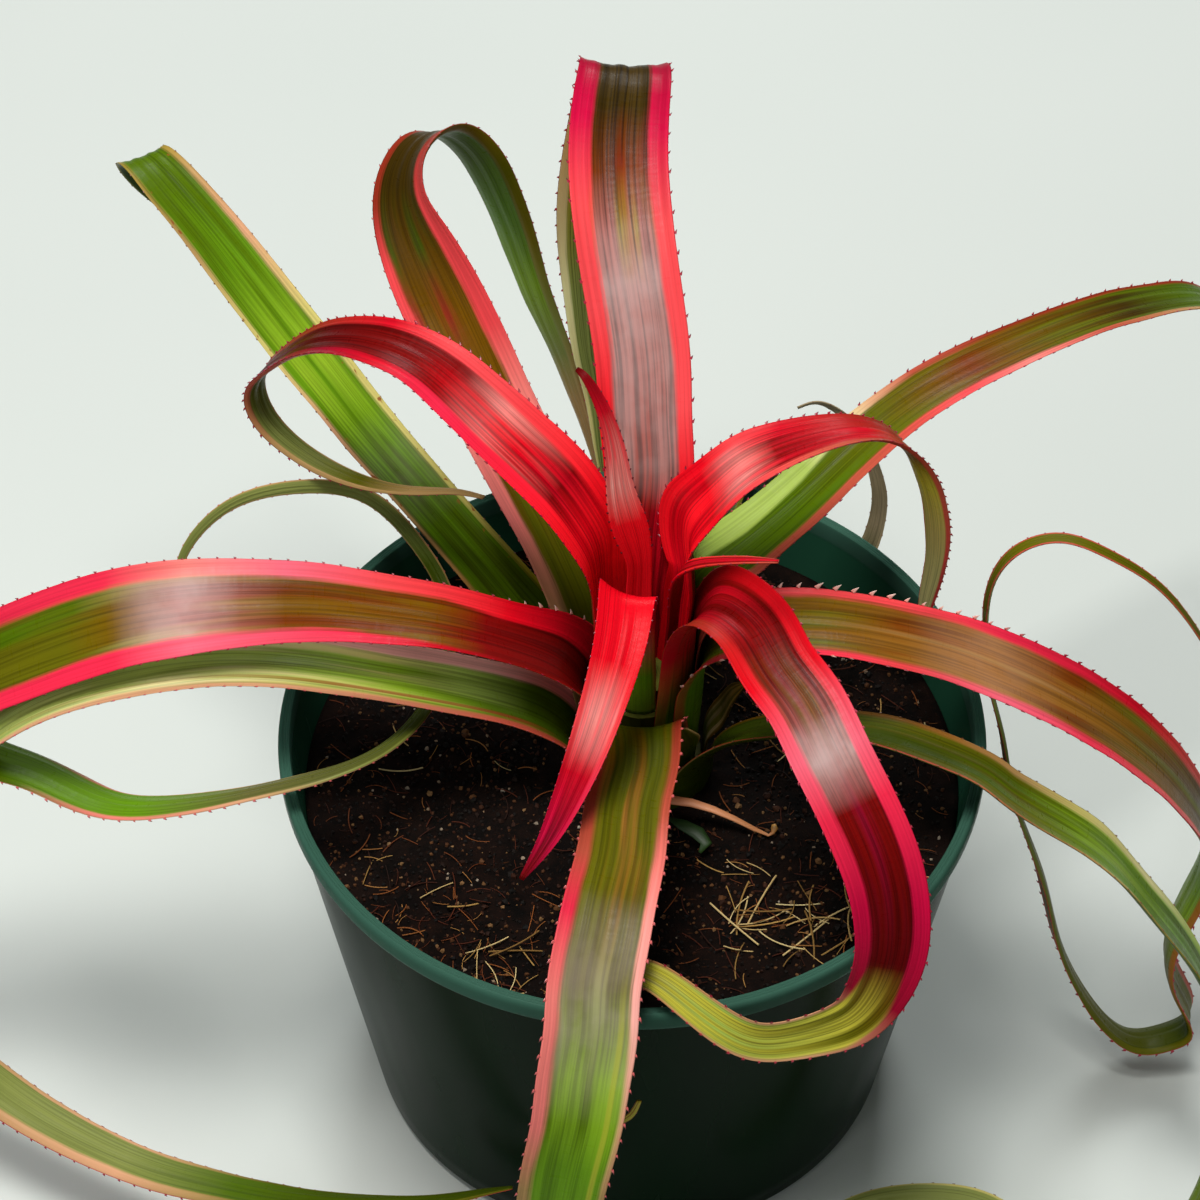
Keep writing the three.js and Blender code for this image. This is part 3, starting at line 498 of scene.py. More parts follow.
DARK_BITS = {0.0: "#050302", 0.5: "#120a05", 0.75: "#351a0c", 0.9: "#5c3a1e", 0.97: "#80603c",
             1.0: "#9c9080"}
FIBRE_BITS = {0.0: "#1c0c05", 0.5: "#542410", 0.85: "#8c5024", 1.0: "#b08448"}
STRAW_BITS = {0.0: "#7a5a2c", 0.5: "#b08a4c", 1.0: "#dcc890"}
litter("soil_crumbs", DARK_BITS, [(0, 0, 78)], crumb_shapes,
       density=0.32, smallest=0.3, largest=1.1, tilt=3.1, lift=0.1, seed=11)
litter("soil_grit", DARK_BITS, [(-38, -45, 26), (38, -32, 22), (0, 30, 60)], crumb_shapes,
       density=0.045, smallest=0.6, largest=1.9, tilt=3.1, lift=0.2, seed=12)
litter("coir_fibres", FIBRE_BITS,
       [(0, 0, 78), (-30, -54, 15), (-44, -46, 17), (32, -36, 13), (60, -30, 14)],
       strand_shapes, ((0.06, 0.1), (-0.16, 0.08), (0.3, 0.05)), 0.018,
       density=0.034, smallest=2.5, largest=8, tilt=0.35, lift=0.5, seed=13)
litter("dry_straws", STRAW_BITS,
       [(42, -44, 11), (46, -47, 8), (-30, -56, 9), (28, -36, 9), (62, -36, 10)],
       strand_shapes, ((0.03, 0.02), (-0.12, 0.03), (0.2, 0.04)), 0.015,
       density=0.03, smallest=6, largest=17, tilt=0.16, lift=1.6, seed=14)
litter("stray_straws", STRAW_BITS, [(0, 0, 76)], strand_shapes, ((0.05, 0.02), (-0.18, 0.03)), 0.016,
       density=0.0022, smallest=5, largest=13, tilt=0.15, lift=0.8, seed=15)


# A dried leaf tip arches out of the plant's foot over the mix and ends in a small bead, and a scrap
# of dark green leaf lies by it.
SCRAP_SIDES = 12


def tube_faces(rows, sides):
    """The faces of an open tube whose points go row by row, so many round each."""
    faces = []
    for start in range(0, (rows - 1) * sides, sides):
        for k in range(sides):
            n = (k + 1) % sides
            faces.append((start + k, start + n, start + sides + n, start + sides + k))
    return faces


def scrap(name, colours, line, widths, flatness):
    """A small oval tube along a line of points above the mix, from widths, coloured along it."""
    line = np.array(line, float) + (0, 0, SOIL)
    ahead = np.gradient(line, axis=0)
    ahead /= np.linalg.norm(ahead, axis=1)[:, None]
    side = np.cross(ahead, (0, 0, 1))
    side /= np.linalg.norm(side, axis=1)[:, None]
    over = np.cross(side, ahead)
    points = []
    for i, width in enumerate(widths):
        for wide, high in circle(1, SCRAP_SIDES):
            points.append(line[i] + width / 2 * (wide * side[i] + flatness * high * over[i]))
    faces = tube_faces(len(widths), SCRAP_SIDES)
    faces.append(tuple(reversed(range(SCRAP_SIDES))))
    faces.append(tuple(range(len(points) - SCRAP_SIDES, len(points))))
    finish, tree, shader = new_material(name, roughness=0.5)
    tree.links.new(ramp(tree, attribute(tree, "along"), colours, 1), shader.inputs["Base Color"])
    piece = new_piece(name, points, faces, finish)
    shares = np.repeat(np.linspace(0, 1, len(widths)), SCRAP_SIDES)
    piece.data.attributes.new("along", "FLOAT", "POINT").data.foreach_set("value", shares)
    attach(piece, "root")


scrap("dry_leaf_tip", {0.0: "#b05a34", 0.3: "#dc9468", 0.7: "#c07c44", 0.93: "#8a6420", 1.0: "#d8a050"},
      [(4, -11, 4), (9, -12, 6), (14, -13, 6.2), (19, -14.4, 5.6), (24, -16, 4.2), (28.5, -17.6, 2.6),
       (32, -18.6, 1.4), (33, -18.2, 1.9), (33.4, -17.4, 2.6), (33.2, -16.7, 3.2)],
      (2.4, 2.6, 2.4, 2.0, 1.6, 1.3, 0.8, 1.0, 1.8, 0.9), 0.5)
scrap("green_scrap", {0.0: "#14280a", 0.6: "#1c380c", 1.0: "#26460e"},
      [(9, -14, 1.5), (12, -16.5, 2.4), (15.5, -19, 2.6), (17.5, -21.5, 1.8), (16, -23.5, 0.9)],
      (1.2, 3.2, 3.8, 2.8, 0.8), 0.35)


# Each leaf is one strap of fibrous skin: a sheath that clasps the short stem, then a channelled
# blade that arches out, droops and curls at its tip. The sheaths are nested shells, numbered from
# the outside, and each stands on its own ledge of the stem.
SHELL_RADII = (20.2, 18.75, 17.3, 15.85, 14.4, 12.95, 11.5, 8.9, 5.6)
SHELL_LEDGES = (-4, -1, 2, 5, 9, 13, 18, 24, 30)
LEDGE_GAP = 0.3
FLARE = 3.5
FLARE_HEIGHT = 64
CHANNEL_SPREAD, SPREAD_LENGTH, WIDEST_CHANNEL = 0.45, 70, 60
TIGHTEST_CHANNEL, TIGHTEST_SHARE = 8, 1.5
SHEATH_THICKNESS, BLADE_THICKNESS, TIP_THICKNESS = 0.8, 1.1, 0.6
BLADE_START, THINS_FROM = 20, 0.6
CROWDING = 1.35
PLEATS_START, PLEATS_FULL = 4, 26
MARGIN_ROLL = 0.45
MARGIN_RIPPLE = 0.35
FIRST_SPINE, LAST_SPINE = 3, 4
SPINE_SHARE, SPINE_LEAST = 0.09, 0.05
ROOT = np.array([STEM[0], STEM[1], SOIL])


def unit(vectors):
    """Vectors brought to length 1."""
    return vectors / np.linalg.norm(vectors, axis=-1, keepdims=True)


def eased(low, high, values):
    """The same smooth step as ease, for a row of values."""
    share = np.clip((values - low) / (high - low), 0, 1)
    return share * share * (3 - 2 * share)


def flare(up):
    """Sheaths widen upwards like a vase: how much nearer the axis they are at a height."""
    return -FLARE * (1 - np.clip((up - SHELL_LEDGES[0]) / FLARE_HEIGHT, 0, 1))


def smooth_rows(rows, per_row=8):
    """Rows of numbers joined by a cubic B-spline that meets each of them."""
    control = rows.copy()
    for _ in range(30):
        for i in range(1, len(rows) - 1):
            control[i] += rows[i] - (control[i - 1] + 4 * control[i] + control[i + 1]) / 6
    ends = np.vstack([2 * control[0] - control[1], control, 2 * control[-1] - control[-2]])
    steps = (len(rows) - 1) * per_row
    t = np.arange(steps + 1) / per_row
    span = np.minimum(t.astype(int), len(rows) - 2)
    f = (t - span)[:, None]
    weights = ((1 - f) ** 3, 3 * f ** 3 - 6 * f ** 2 + 4, -3 * f ** 3 + 3 * f ** 2 + 3 * f + 1, f ** 3)
    return sum(w * ends[span + j] for j, w in enumerate(weights)) / 6


def strap(azimuth, shell, top, wrap, blade):
    """The stations along a leaf: its midline, width, frame, and length from its foot. The sheath clasps
    the stem up to the top, and each row of the blade is out, sideways, up, width and twist."""
    foot = SHELL_LEDGES[shell] + LEDGE_GAP
    pieces = max(1, round((top - foot) / 9))
    wide = (SHELL_RADII[shell] + flare(foot)) * math.radians(wrap)
    narrow = min(wide, blade[0][3] * 1.12)
    rows = []
    for i in range(pieces + 1):
        up = foot + (top - foot) * i / pieces
        width = wide + (narrow - wide) * ease(0, 1, i / pieces)
        rows.append((SHELL_RADII[shell] + flare(up), 0, up, width, 0))
    rows += [tuple(row) + (0,) * (5 - len(row)) for row in blade]
    path = smooth_rows(np.array(rows, float))
    turn = math.radians(azimuth)
    out = np.array([math.cos(turn), math.sin(turn), 0])
    side = np.array([-math.sin(turn), math.cos(turn), 0])
    middle = path[:, :1] * out + path[:, 1:2] * side + path[:, 2:3] * np.array([0, 0, 1.0])
    ahead = unit(np.gradient(middle, axis=0))
    across = []
    carried = side
    for i, tangent in enumerate(ahead):
        carried = unit(carried - carried.dot(tangent) * tangent)
        twist = math.radians(path[i, 4])
        across.append(carried * math.cos(twist) + np.cross(tangent, carried) * math.sin(twist))
    across = np.array(across)
    length = np.concatenate([[0], np.cumsum(np.linalg.norm(np.diff(middle, axis=0), axis=1))])
    clasp = length[np.argmax(path[:, 2] > top)]
    return {"middle": middle + ROOT, "width": path[:, 3], "up": path[:, 2], "ahead": ahead,
            "across": across, "face": np.cross(ahead, across), "length": length, "clasp": clasp,
            "shell": shell}


def skin_points(leaf, shares, depths):
    """Points on the channelled leaf, at shares across its width (-1 to 1), moved out of it by depths."""
    beyond = np.maximum(0, leaf["length"] - leaf["clasp"])[:, None]
    shell = (SHELL_RADII[leaf["shell"]] + flare(leaf["up"]))[:, None]
    radius = np.minimum(shell + CHANNEL_SPREAD * np.minimum(beyond, SPREAD_LENGTH),
                        np.maximum(shell, WIDEST_CHANNEL))
    width = leaf["width"][:, None]
    tight = TIGHTEST_SHARE * width + TIGHTEST_CHANNEL
    channel = np.where(beyond > 0, np.minimum(radius, tight), radius)
    angle = (shares[None, :] * width / (2 * channel))[..., None]
    channel = channel[..., None]
    across, face = leaf["across"][:, None], leaf["face"][:, None]
    way = face * np.cos(angle) - across * np.sin(angle)
    base = leaf["middle"][:, None] + across * channel * np.sin(angle) + face * channel * (1 - np.cos(angle))
    return base + way * depths[..., None]


rails = []


def grow_leaf(name, slot, skin, spacing, spine, tooth, pale_left=0, pale_right=0, pleats=0.12,
              columns=25, **shape):
    """Makes a leaf's closed skin and notes the places on it that its colours follow. It also keeps the
    margins for the spines: their spacing, length and colour, and the length over which they are pale."""
    leaf = strap(**shape)
    length, width = leaf["length"], leaf["width"]
    total = length[-1]
    shares = np.sin(np.linspace(-1, 1, columns) * CROWDING) / math.sin(CROWDING)
    beyond = np.maximum(0, length - leaf["clasp"])
    thick = SHEATH_THICKNESS + (BLADE_THICKNESS - SHEATH_THICKNESS) * eased(0, BLADE_START, beyond)
    thick = thick - (thick - TIP_THICKNESS) * eased(THINS_FROM, 1, length / total)
    half = thick[:, None] / 2 * np.sqrt(1 - np.abs(shares[None, :]) ** 5 + 1e-9) * (1 - 0.25 * shares ** 2)
    seed = sum(map(ord, name)) % 97
    free = eased(PLEATS_START, PLEATS_FULL, beyond) * eased(0, 6, width)
    drift = np.array([noise.noise(Vector((s / 40, seed, 0))) for s in length])
    ripple = np.array([noise.noise(Vector((s / 14, seed, 5))) for s in length])
    folds = np.cos(shares[None, :] * 11 + seed + 3 * drift[:, None])
    folds = folds + 0.6 * np.cos(shares * 19 + 2 * seed)[None, :]
    relief = pleats * folds * (1 - shares ** 2)[None, :]
    margins = MARGIN_ROLL * shares[None, :] ** 8 + MARGIN_RIPPLE * ripple[:, None] * shares[None, :] ** 3
    relief = (relief + margins) * free[:, None]
    upper, lower = skin_points(leaf, shares, relief + half), skin_points(leaf, shares, relief - half)
    edge = skin_points(leaf, shares, relief)
    rows = len(length)
    ring = 2 * columns - 2
    section = np.empty((rows, ring, 3))
    section[:, :columns] = upper
    section[:, 0], section[:, columns - 1] = edge[:, 0], edge[:, -1]
    section[:, columns:] = lower[:, -2:0:-1]
    points = np.vstack([section.reshape(-1, 3), edge[:1].mean(axis=1), edge[-1:].mean(axis=1)])
    faces = tube_faces(rows, ring)
    last = rows * ring
    for k in range(ring):
        n = (k + 1) % ring
        faces += [(n, k, last), (last - ring + k, last - ring + n, last + 1)]
    piece = new_piece(name + "_skin", points, faces, skin)
    ring_shares = np.concatenate([shares, shares[-2:0:-1]])
    ring_upper = np.concatenate([np.ones(columns), np.zeros(columns - 2)])
    for word, values in (("across", np.tile(ring_shares, rows)), ("along", np.repeat(length, ring)),
                         ("upper", np.tile(ring_upper, rows))):
        filled = np.concatenate([values, [values[0], values[-1]]])
        piece.data.attributes.new(word, "FLOAT", "POINT").data.foreach_set("value", filled)
    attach(piece, "root")
    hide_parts(name)
    free_part = (beyond > FIRST_SPINE) & (length < total - LAST_SPINE)
    for side, within, pale_end in ((0, 1, pale_right), (-1, -2, pale_left)):
        outward = unit(edge[:, side] - edge[:, within])
        pale = 1 - eased(pale_end * 0.7, pale_end + 1, beyond)
        sizes = np.minimum(spine * (1 + 0.9 * pale), SPINE_SHARE * width + SPINE_LEAST)
        sizes = sizes * (0.5 + 0.5 * eased(0, 14, total - length))
        rails.append((edge[free_part, side], outward[free_part], leaf["ahead"][free_part], sizes[free_part],
                      pale[free_part], spacing, tooth))


# The plant's paints: its greens, its browns and straw colours, and its reds and pinks. A leaf takes
# them at lengths in millimetres from its foot, and they run into each other between these.
PINE, MOSS, FERN, GRASS = "#24380a", "#3c4a04", "#4a6404", "#5f8a10"
LIME, CELERY, SAGE, DRAB = "#86a824", "#a0b850", "#848c48", "#6c6a38"
OLIVE, MUSTARD, GOLD, SIENNA = "#5c5a08", "#8a7a14", "#c0b83c", "#6e3004"
BARK, BRONZE, RUST, TAN = "#3a2a04", "#6e4a04", "#9a6428", "#b08c58"
ASH, STRAW, CREAM, BUFF = "#98886a", "#c8bc6c", "#e4dca0", "#d8a078"
GARNET, MAROON, BRICK, COPPER = "#500404", "#740806", "#8c2c1a", "#b8503c"
WINE, CRIMSON, SCARLET, ROSE = "#860a24", "#c0081e", "#e0081c", "#e42846"
# The last of the four below, a pale mauve, is a painted highlight on a leaf's face, over silvery scales on
# some leaves.
CORAL, SALMON, BLUSH, HIGHLIT_MAUVE = "#e8464a", "#ec7c74", "#f4aca0", "#a4645c"
# The last of the three below is scarlet painted brighter than the leaves are: painted light on the feet of
# the inner leaves, in the shade at the plant's heart.
PINK, MAGENTA, LIT_SCARLET = "#ec6074", "#c40a3c", "#ff1826"
RED_TOOTH, PINK_TOOTH, GREEN_TOOTH = "#a01030", "#c85a58", "#8a5a38"


def leaf_skin(name, total, centre, streaks, left, left_width, under, under_edge, right=None,
              right_width=None, highlight_and_scales=None, midline=None, spots=0.0, gloss=0.3, streak_share=0.5,
              vein_depth=0.35):
    """The skin of one leaf: a streaked centre, wide coloured margins, fine veins, and silvery scales under
    a painted highlight.
    Left and right are seen looking out along the leaf, and a margin without its own is as the left."""
    finish, tree, shader = new_material(name, specular=0.06)
    across, along, upper = (attribute(tree, word) for word in ("across", "along", "upper"))
    share = sums(tree, "DIVIDE", along, total)
    seed = sum(map(ord, name)) % 89 * 1.7

    def streaked(fine, stretch, shift, detail=2.0):
        """A noise drawn out along the leaf."""
        place = add(tree, "ShaderNodeCombineXYZ", {0: sums(tree, "MULTIPLY", across, fine),
                                                   1: sums(tree, "MULTIPLY", along, stretch),
                                                   2: seed + shift})
        return grains(tree, place.outputs[0], 1.0, detail)

    def lengthwise(stops):
        """Colours or strengths along the leaf."""
        return ramp(tree, share, stops, total)

    def shaded(colour, lines):
        """A colour made darker or lighter by a grey."""
        grey = add(tree, "ShaderNodeCombineColor", {0: lines, 1: lines, 2: lines}).outputs[0]
        return blend(tree, 1.0, colour, grey, "MULTIPLY")

    broad = streaked(2.6, 0.014, 0.0)
    veins = streaked(17.0, 0.02, 11.0, 3.0)
    wrinkles = streaked(3.0, 1.1, 23.0)
    wander = streaked(0.6, 0.05, 37.0, 3.0)

    # The middle of the upper face. Some leaves have silvery scales on it, or one long line.
    in_streak = between(tree, broad, streak_share - 0.1, streak_share + 0.1)
    lines = between(tree, veins, 0.3, 0.62, 1.0 - vein_depth, 1.1)
    heart = shaded(blend(tree, in_streak, lengthwise(centre), lengthwise(streaks)), lines)
    # The middle of the upper face. Some leaves have a painted highlight on it, over silvery scales on some,
    # or one long line.
    if highlight_and_scales:
        mottle = between(tree, streaked(1.5, 0.12, 53.0, 3.0), 0.25, 0.7, 0.45, 1.0)
        highlight_and_scale_share = sums(tree, "MULTIPLY", lengthwise(highlight_and_scales), mottle)
        # This pale grey-pink is a painted highlight, over silvery scales on some leaves.
        heart = blend(tree, highlight_and_scale_share, heart, paint("#c4b0ac"))
    if midline:
        place, strengths, line_paint = midline
        apart = sums(tree, "ABSOLUTE", sums(tree, "SUBTRACT", across, place))
        line = sums(tree, "MULTIPLY", between(tree, apart, 0.03, 0.09, 1.0, 0.0), lengthwise(strengths))
        heart = blend(tree, line, heart, paint(line_paint))

    # The margins, which fray into the middle along the veins.
    is_left = between(tree, across, -0.05, 0.05)
    margin = blend(tree, is_left, lengthwise(right or left), lengthwise(left))
    margin = shaded(margin, between(tree, veins, 0.3, 0.7, 0.82, 1.08))
    wobble = sums(tree, "MULTIPLY", sums(tree, "SUBTRACT", wander, 0.5), 0.16)
    off = sums(tree, "ADD", sums(tree, "ABSOLUTE", across), wobble)
    rim = blend(tree, is_left, lengthwise(right_width or left_width), lengthwise(left_width))
    start = sums(tree, "SUBTRACT", 1.0, rim)
    frayed = sums(tree, "MULTIPLY", sums(tree, "SUBTRACT", veins, 0.5), 0.14)
    past = sums(tree, "ADD", sums(tree, "SUBTRACT", off, start), frayed)
    top = blend(tree, between(tree, past, -0.07, 0.09), heart, margin)
    if spots:
        spot = between(tree, streaked(5.0, 0.35, 71.0, 1.0), 0.68, 0.74, 0.0, spots)
        spot = sums(tree, "MULTIPLY", spot, between(tree, past, -0.2, 0.0))
        top = blend(tree, spot, top, paint("#8a4a22"))

    # The back, the gloss and the fine relief.
    back = blend(tree, sums(tree, "SUBTRACT", 1.0, lines), lengthwise(under), paint("#26350c"))
    back = blend(tree, between(tree, past, 0.02, 0.14), back, lengthwise(under_edge))
    colour = blend(tree, between(tree, upper, 0.4, 0.6), back, top)
    tree.links.new(colour, shader.inputs["Base Color"])
    gloss_range = between(tree, wrinkles, 0.2, 0.8, gloss - 0.05, gloss + 0.12)
    tree.links.new(gloss_range, shader.inputs["Roughness"])
    fine = add(tree, "ShaderNodeBump", {"Strength": 0.35, "Distance": 0.00025, "Height": veins})
    cross = add(tree, "ShaderNodeBump", {"Strength": 0.25, "Distance": 0.00012, "Height": wrinkles,
                                         "Normal": fine.outputs[0]})
    tree.links.new(cross.outputs[0], shader.inputs["Normal"])
    return finish


# The front leaf bends over the lip towards the camera. It is olive at the crown, silvery where it
# lies flat, and green below, with a pink margin on one side and a paler, thinner one on the other.
# The silver where it lies flat is partly scales and partly a painted highlight, and the rust band near the
# crown is painted lighter than it is, as painted light against the shade there.
skin = leaf_skin(
    "front_leaf_skin", 270,
    centre={25: MOSS, 48: BRONZE, 66: RUST, 88: BRONZE, 110: SAGE, 138: FERN, 158: GRASS},
    streaks={25: MOSS, 75: OLIVE, 105: OLIVE, 126: LIME, 150: GRASS},
    left={35: BRICK, 62: COPPER, 80: SALMON, 112: BLUSH, 140: BUFF, 158: TAN},
    left_width={30: 0.2, 80: 0.26, 130: 0.13},
    right={60: BRICK, 76: COPPER, 90: ROSE, 108: SALMON, 140: SALMON, 158: TAN},
    right_width={30: 0.25, 90: 0.36, 150: 0.3},
    under={0: MOSS, 270: FERN}, under_edge={0: COPPER, 270: TAN},
    highlight_and_scales={84: 0.0, 98: 0.2, 112: 0.32, 126: 0.15, 138: 0.0},
    midline=(0.64, {100: 0.0, 118: 0.4, 158: 0.5}, GOLD))
grow_leaf(
    "leaf_front", "leaf_green", skin, spacing=4.2, spine=1.1, tooth=PINK_TOOTH,
    azimuth=265, shell=2, top=24, wrap=130, blade=(
        (18.5, 0, 32, 24), (24, 1, 37, 21), (34, 2, 38.5, 19.5), (46, 1, 39, 19.5), (59, 1, 38.5, 20),
        (70, 0, 37.5, 20.5), (80, -1, 34.5, 21), (89, -2, 29.5, 21), (96, -2, 22.5, 21),
        (102, -3, 13, 21), (107, -4, 3, 20.5), (111, -6, -9, 20), (113, -8, -25, 19),
        (113, -10, -42, 17, 5), (109, -12, -59, 15, 10), (101, -15, -73, 12.5, 15),
        (89, -18, -83, 9.5, 20), (80, -25, -89, 6.5, 20), (75, -35, -91, 4, 20),
        (73, -46, -90, 1.5, 20)))


# The low leaf on the right passes over the lip, drops beside the pot and arches back in front. It
# is one of the two outermost: yellow-green, with tan and straw-coloured margins.
# The faint silver on its face is a painted highlight.
skin = leaf_skin(
    "low_right_leaf_skin", 346,
    centre={7: MOSS, 75: MOSS, 95: FERN, 114: LIME, 132: LIME, 152: GRASS},
    streaks={7: PINE, 63: OLIVE, 95: OLIVE, 127: GRASS, 152: FERN},
    left={41: BRONZE, 75: RUST, 96: TAN, 114: STRAW, 140: CREAM, 160: CELERY},
    left_width={7: 0.14, 75: 0.2, 113: 0.26},
    right={18: BRICK, 75: COPPER, 126: TAN, 152: MUSTARD}, right_width={7: 0.12, 126: 0.1},
    under={0: MOSS, 200: FERN, 280: SAGE, 346: SAGE}, under_edge={0: TAN, 298: STRAW},
    highlight_and_scales={112: 0.0, 127: 0.1, 142: 0.0})
grow_leaf(
    "leaf_right_low", "leaf_green", skin, spacing=5.0, spine=0.5, tooth=GREEN_TOOTH,
    azimuth=-33, shell=0, top=3, wrap=90, blade=(
        (17.5, 1, 9, 20), (22, 4, 16, 18), (30, 8, 21, 17.5), (41, 12, 25.5, 18), (53, 15, 29, 18),
        (65, 17, 30, 18), (79, 20, 27.5, 18), (88, 21, 23.5, 18.5), (100, 26, 15, 19), (110, 30, 6, 19),
        (120, 33, -7, 18.5), (132, 35, -22, 18), (142, 32, -37, 17, -4), (150, 23, -51, 15.5, -12),
        (155, 8, -64, 13.5, -24), (153, -8, -75, 12.5, -36), (144, -17, -81, 11.5, -44),
        (131, -18, -83, 11, -48), (118, -15.5, -83, 10.5, -50), (107, -16, -82, 10, -50),
        (97, -21, -81.5, 9.5, -50), (89, -26.5, -82.5, 8.5, -50), (82, -32.5, -85, 7, -50),
        (77, -39, -88.5, 5, -50), (73, -46, -92, 3, -50), (71, -54, -94.5, 1.2, -50)))


# The low leaf on the left rolls over outside the pot, and its thin tail runs back to the pot, round
# and out again. It is pale green above, with a dull red line beside its middle.
# Its pale face is painted paler than it is, as painted light where the broad leaf above shades it.
skin = leaf_skin(
    "low_left_leaf_skin", 410,
    centre={6: MOSS, 26: FERN, 44: CELERY, 66: STRAW, 110: CREAM, 158: CELERY},
    streaks={6: PINE, 36: FERN, 60: LIME, 95: CELERY, 158: SAGE},
    left={6: BRICK, 36: COPPER, 90: BUFF, 130: BUFF}, left_width={6: 0.26, 90: 0.2},
    right={19: SALMON, 36: BLUSH, 126: BLUSH, 156: BUFF}, right_width={6: 0.3, 60: 0.4},
    under={0: MOSS, 165: FERN, 204: GRASS, 232: DRAB, 285: MOSS, 322: MOSS, 345: SAGE},
    under_edge={0: COPPER, 176: FERN, 200: SALMON, 230: BUFF, 252: SAGE, 285: OLIVE, 345: TAN},
    midline=(0.6, {18: 0.0, 30: 0.7, 75: 0.7, 110: 0.2}, BRICK))
grow_leaf(
    "leaf_left_low", "leaf_green", skin, spacing=3.6, spine=0.8, tooth=PINK_TOOTH,
    azimuth=188, shell=1, top=5, wrap=98, blade=(
        (18.5, 0, 13, 23), (25, 0, 20.5, 21.5), (34, 0, 26.5, 20), (46, 0, 32.5, 19.5),
        (60, 0, 38.5, 19.5), (74, -1, 43, 20), (89, -2.5, 45.5, 20), (103, -3.5, 45.5, 20),
        (117, -4, 43.6, 19.5), (131, -4.5, 39.5, 19), (142, -4.5, 34, 18.5), (149.5, -4.5, 27.8, 18),
        (152, -4, 23, 17.5), (148.5, -3, 19.2, 16.5), (140, 0, 16.3, 15.5), (129, 7, 14.5, 14),
        (117, 12, 15, 12), (99, 16, 20, 9), (84, 18, 25, 7), (72, 17, 27, 6), (61, 12, 27, 5),
        (51.5, 1, 25, 4.5), (44.5, -14, 24.5, 4.2), (42.5, -29, 29.5, 4), (48, -41, 36.5, 4),
        (58.5, -50.5, 44, 4), (74, -53, 47, 3.8), (91, -55, 41, 3), (103, -53, 28, 2.2),
        (106, -50, 15, 1.2)))


# The low leaf at the back left is plain glossy green with yellow margins and rusty spots. It turns
# over at its top, and its tail hangs behind.
# The faint silver on its face is a painted highlight.
skin = leaf_skin(
    "low_back_leaf_skin", 260,
    centre={10: MOSS, 48: FERN, 86: GRASS, 114: LIME, 145: GRASS, 170: FERN},
    streaks={10: PINE, 48: MOSS, 86: FERN, 112: GRASS, 145: FERN},
    left={42: RUST, 70: TAN, 100: BUFF, 125: STRAW, 152: TAN, 185: MUSTARD},
    left_width={10: 0.12, 125: 0.16},
    right={42: MUSTARD, 86: STRAW, 126: STRAW, 150: BUFF, 185: MUSTARD},
    right_width={10: 0.14, 130: 0.24},
    under={0: MOSS, 185: PINE, 260: FERN}, under_edge={0: TAN, 185: OLIVE, 260: MUSTARD},
    highlight_and_scales={66: 0.0, 80: 0.14, 98: 0.0}, spots=0.9)
grow_leaf(
    "leaf_back_left_low", "leaf_green", skin, spacing=5.5, spine=0.35, tooth=GREEN_TOOTH,
    azimuth=138, shell=0, top=5, wrap=124, blade=(
        (20.5, 0, 12.5, 22.5), (28, 0, 17.3, 19.5), (38, 0, 22.5, 17), (49, 0, 28.5, 16),
        (62, 0, 35, 15.5), (75, 0, 41.5, 15.8), (88, 0, 48, 16.3), (101, 0, 56, 17), (114, 0, 64, 17.3),
        (127, 0, 72.5, 17), (140, 0, 81, 16), (152, 0, 87.5, 15), (161, -1, 89.5, 13.5),
        (166, -3, 85, 12), (164, -6, 77, 10.5), (157, -9, 71, 9.5), (146, -10, 66, 8),
        (135, -11, 61.5, 6.5), (123, -11, 57, 4.5), (112, -11, 52, 2.5), (106, -11, 49, 1.2)))


# The tall leaf at the back left stands on edge at its top, where it turns over and hangs behind. It
# is olive and bronze, with broad salmon margins.
skin = leaf_skin(
    "back_left_leaf_skin", 289,
    centre={12: MOSS, 45: OLIVE, 75: BRONZE, 106: BRONZE, 140: BARK},
    streaks={12: MOSS, 60: OLIVE, 90: OLIVE, 108: BRICK, 125: MOSS, 140: BARK},
    left={30: TAN, 56: SALMON, 78: SALMON, 102: CORAL, 122: CORAL, 136: BRICK},
    left_width={30: 0.4, 60: 0.34, 100: 0.3, 130: 0.2},
    right={30: BUFF, 60: SALMON, 84: SALMON, 102: CORAL, 134: CORAL, 152: BRICK},
    right_width={30: 0.36, 90: 0.42, 140: 0.5},
    under={100: MOSS, 170: FERN, 194: GRASS, 222: LIME, 246: SAGE, 262: TAN},
    under_edge={100: BRICK, 176: OLIVE, 202: MUSTARD, 237: SAGE, 262: TAN})
grow_leaf(
    "leaf_back_left", "leaf_wine", skin, spacing=4.2, spine=0.5, tooth=PINK_TOOTH,
    azimuth=122, shell=2, top=14, wrap=130, blade=(
        (18.5, 0, 23, 25), (23, 0, 31, 22), (31, 0, 38.5, 21), (42, 0, 45.5, 21), (54, 0, 51.5, 21, -2),
        (66, 0, 58, 21, -6), (78, 0, 67, 21, -14), (89, 0, 75.5, 21, -28), (99, 0.5, 85.5, 20.5, -46),
        (106.5, 0, 94.5, 19, -66), (111, -4, 101.5, 17.5, -82), (113, -10, 104.5, 16.5, -90),
        (113.5, -16.5, 102, 15.5, -92), (112, -22, 94.5, 14.5, -92), (111, -26, 84, 13.5, -90),
        (111, -30, 70.5, 12.5, -88), (112, -34, 55, 11.5, -86), (111, -38, 38, 10, -84),
        (108, -42, 22, 8.5, -82), (104, -45, 6, 6.5, -80), (100, -47, -8, 4.5, -80),
        (97, -48, -20, 2, -80)))


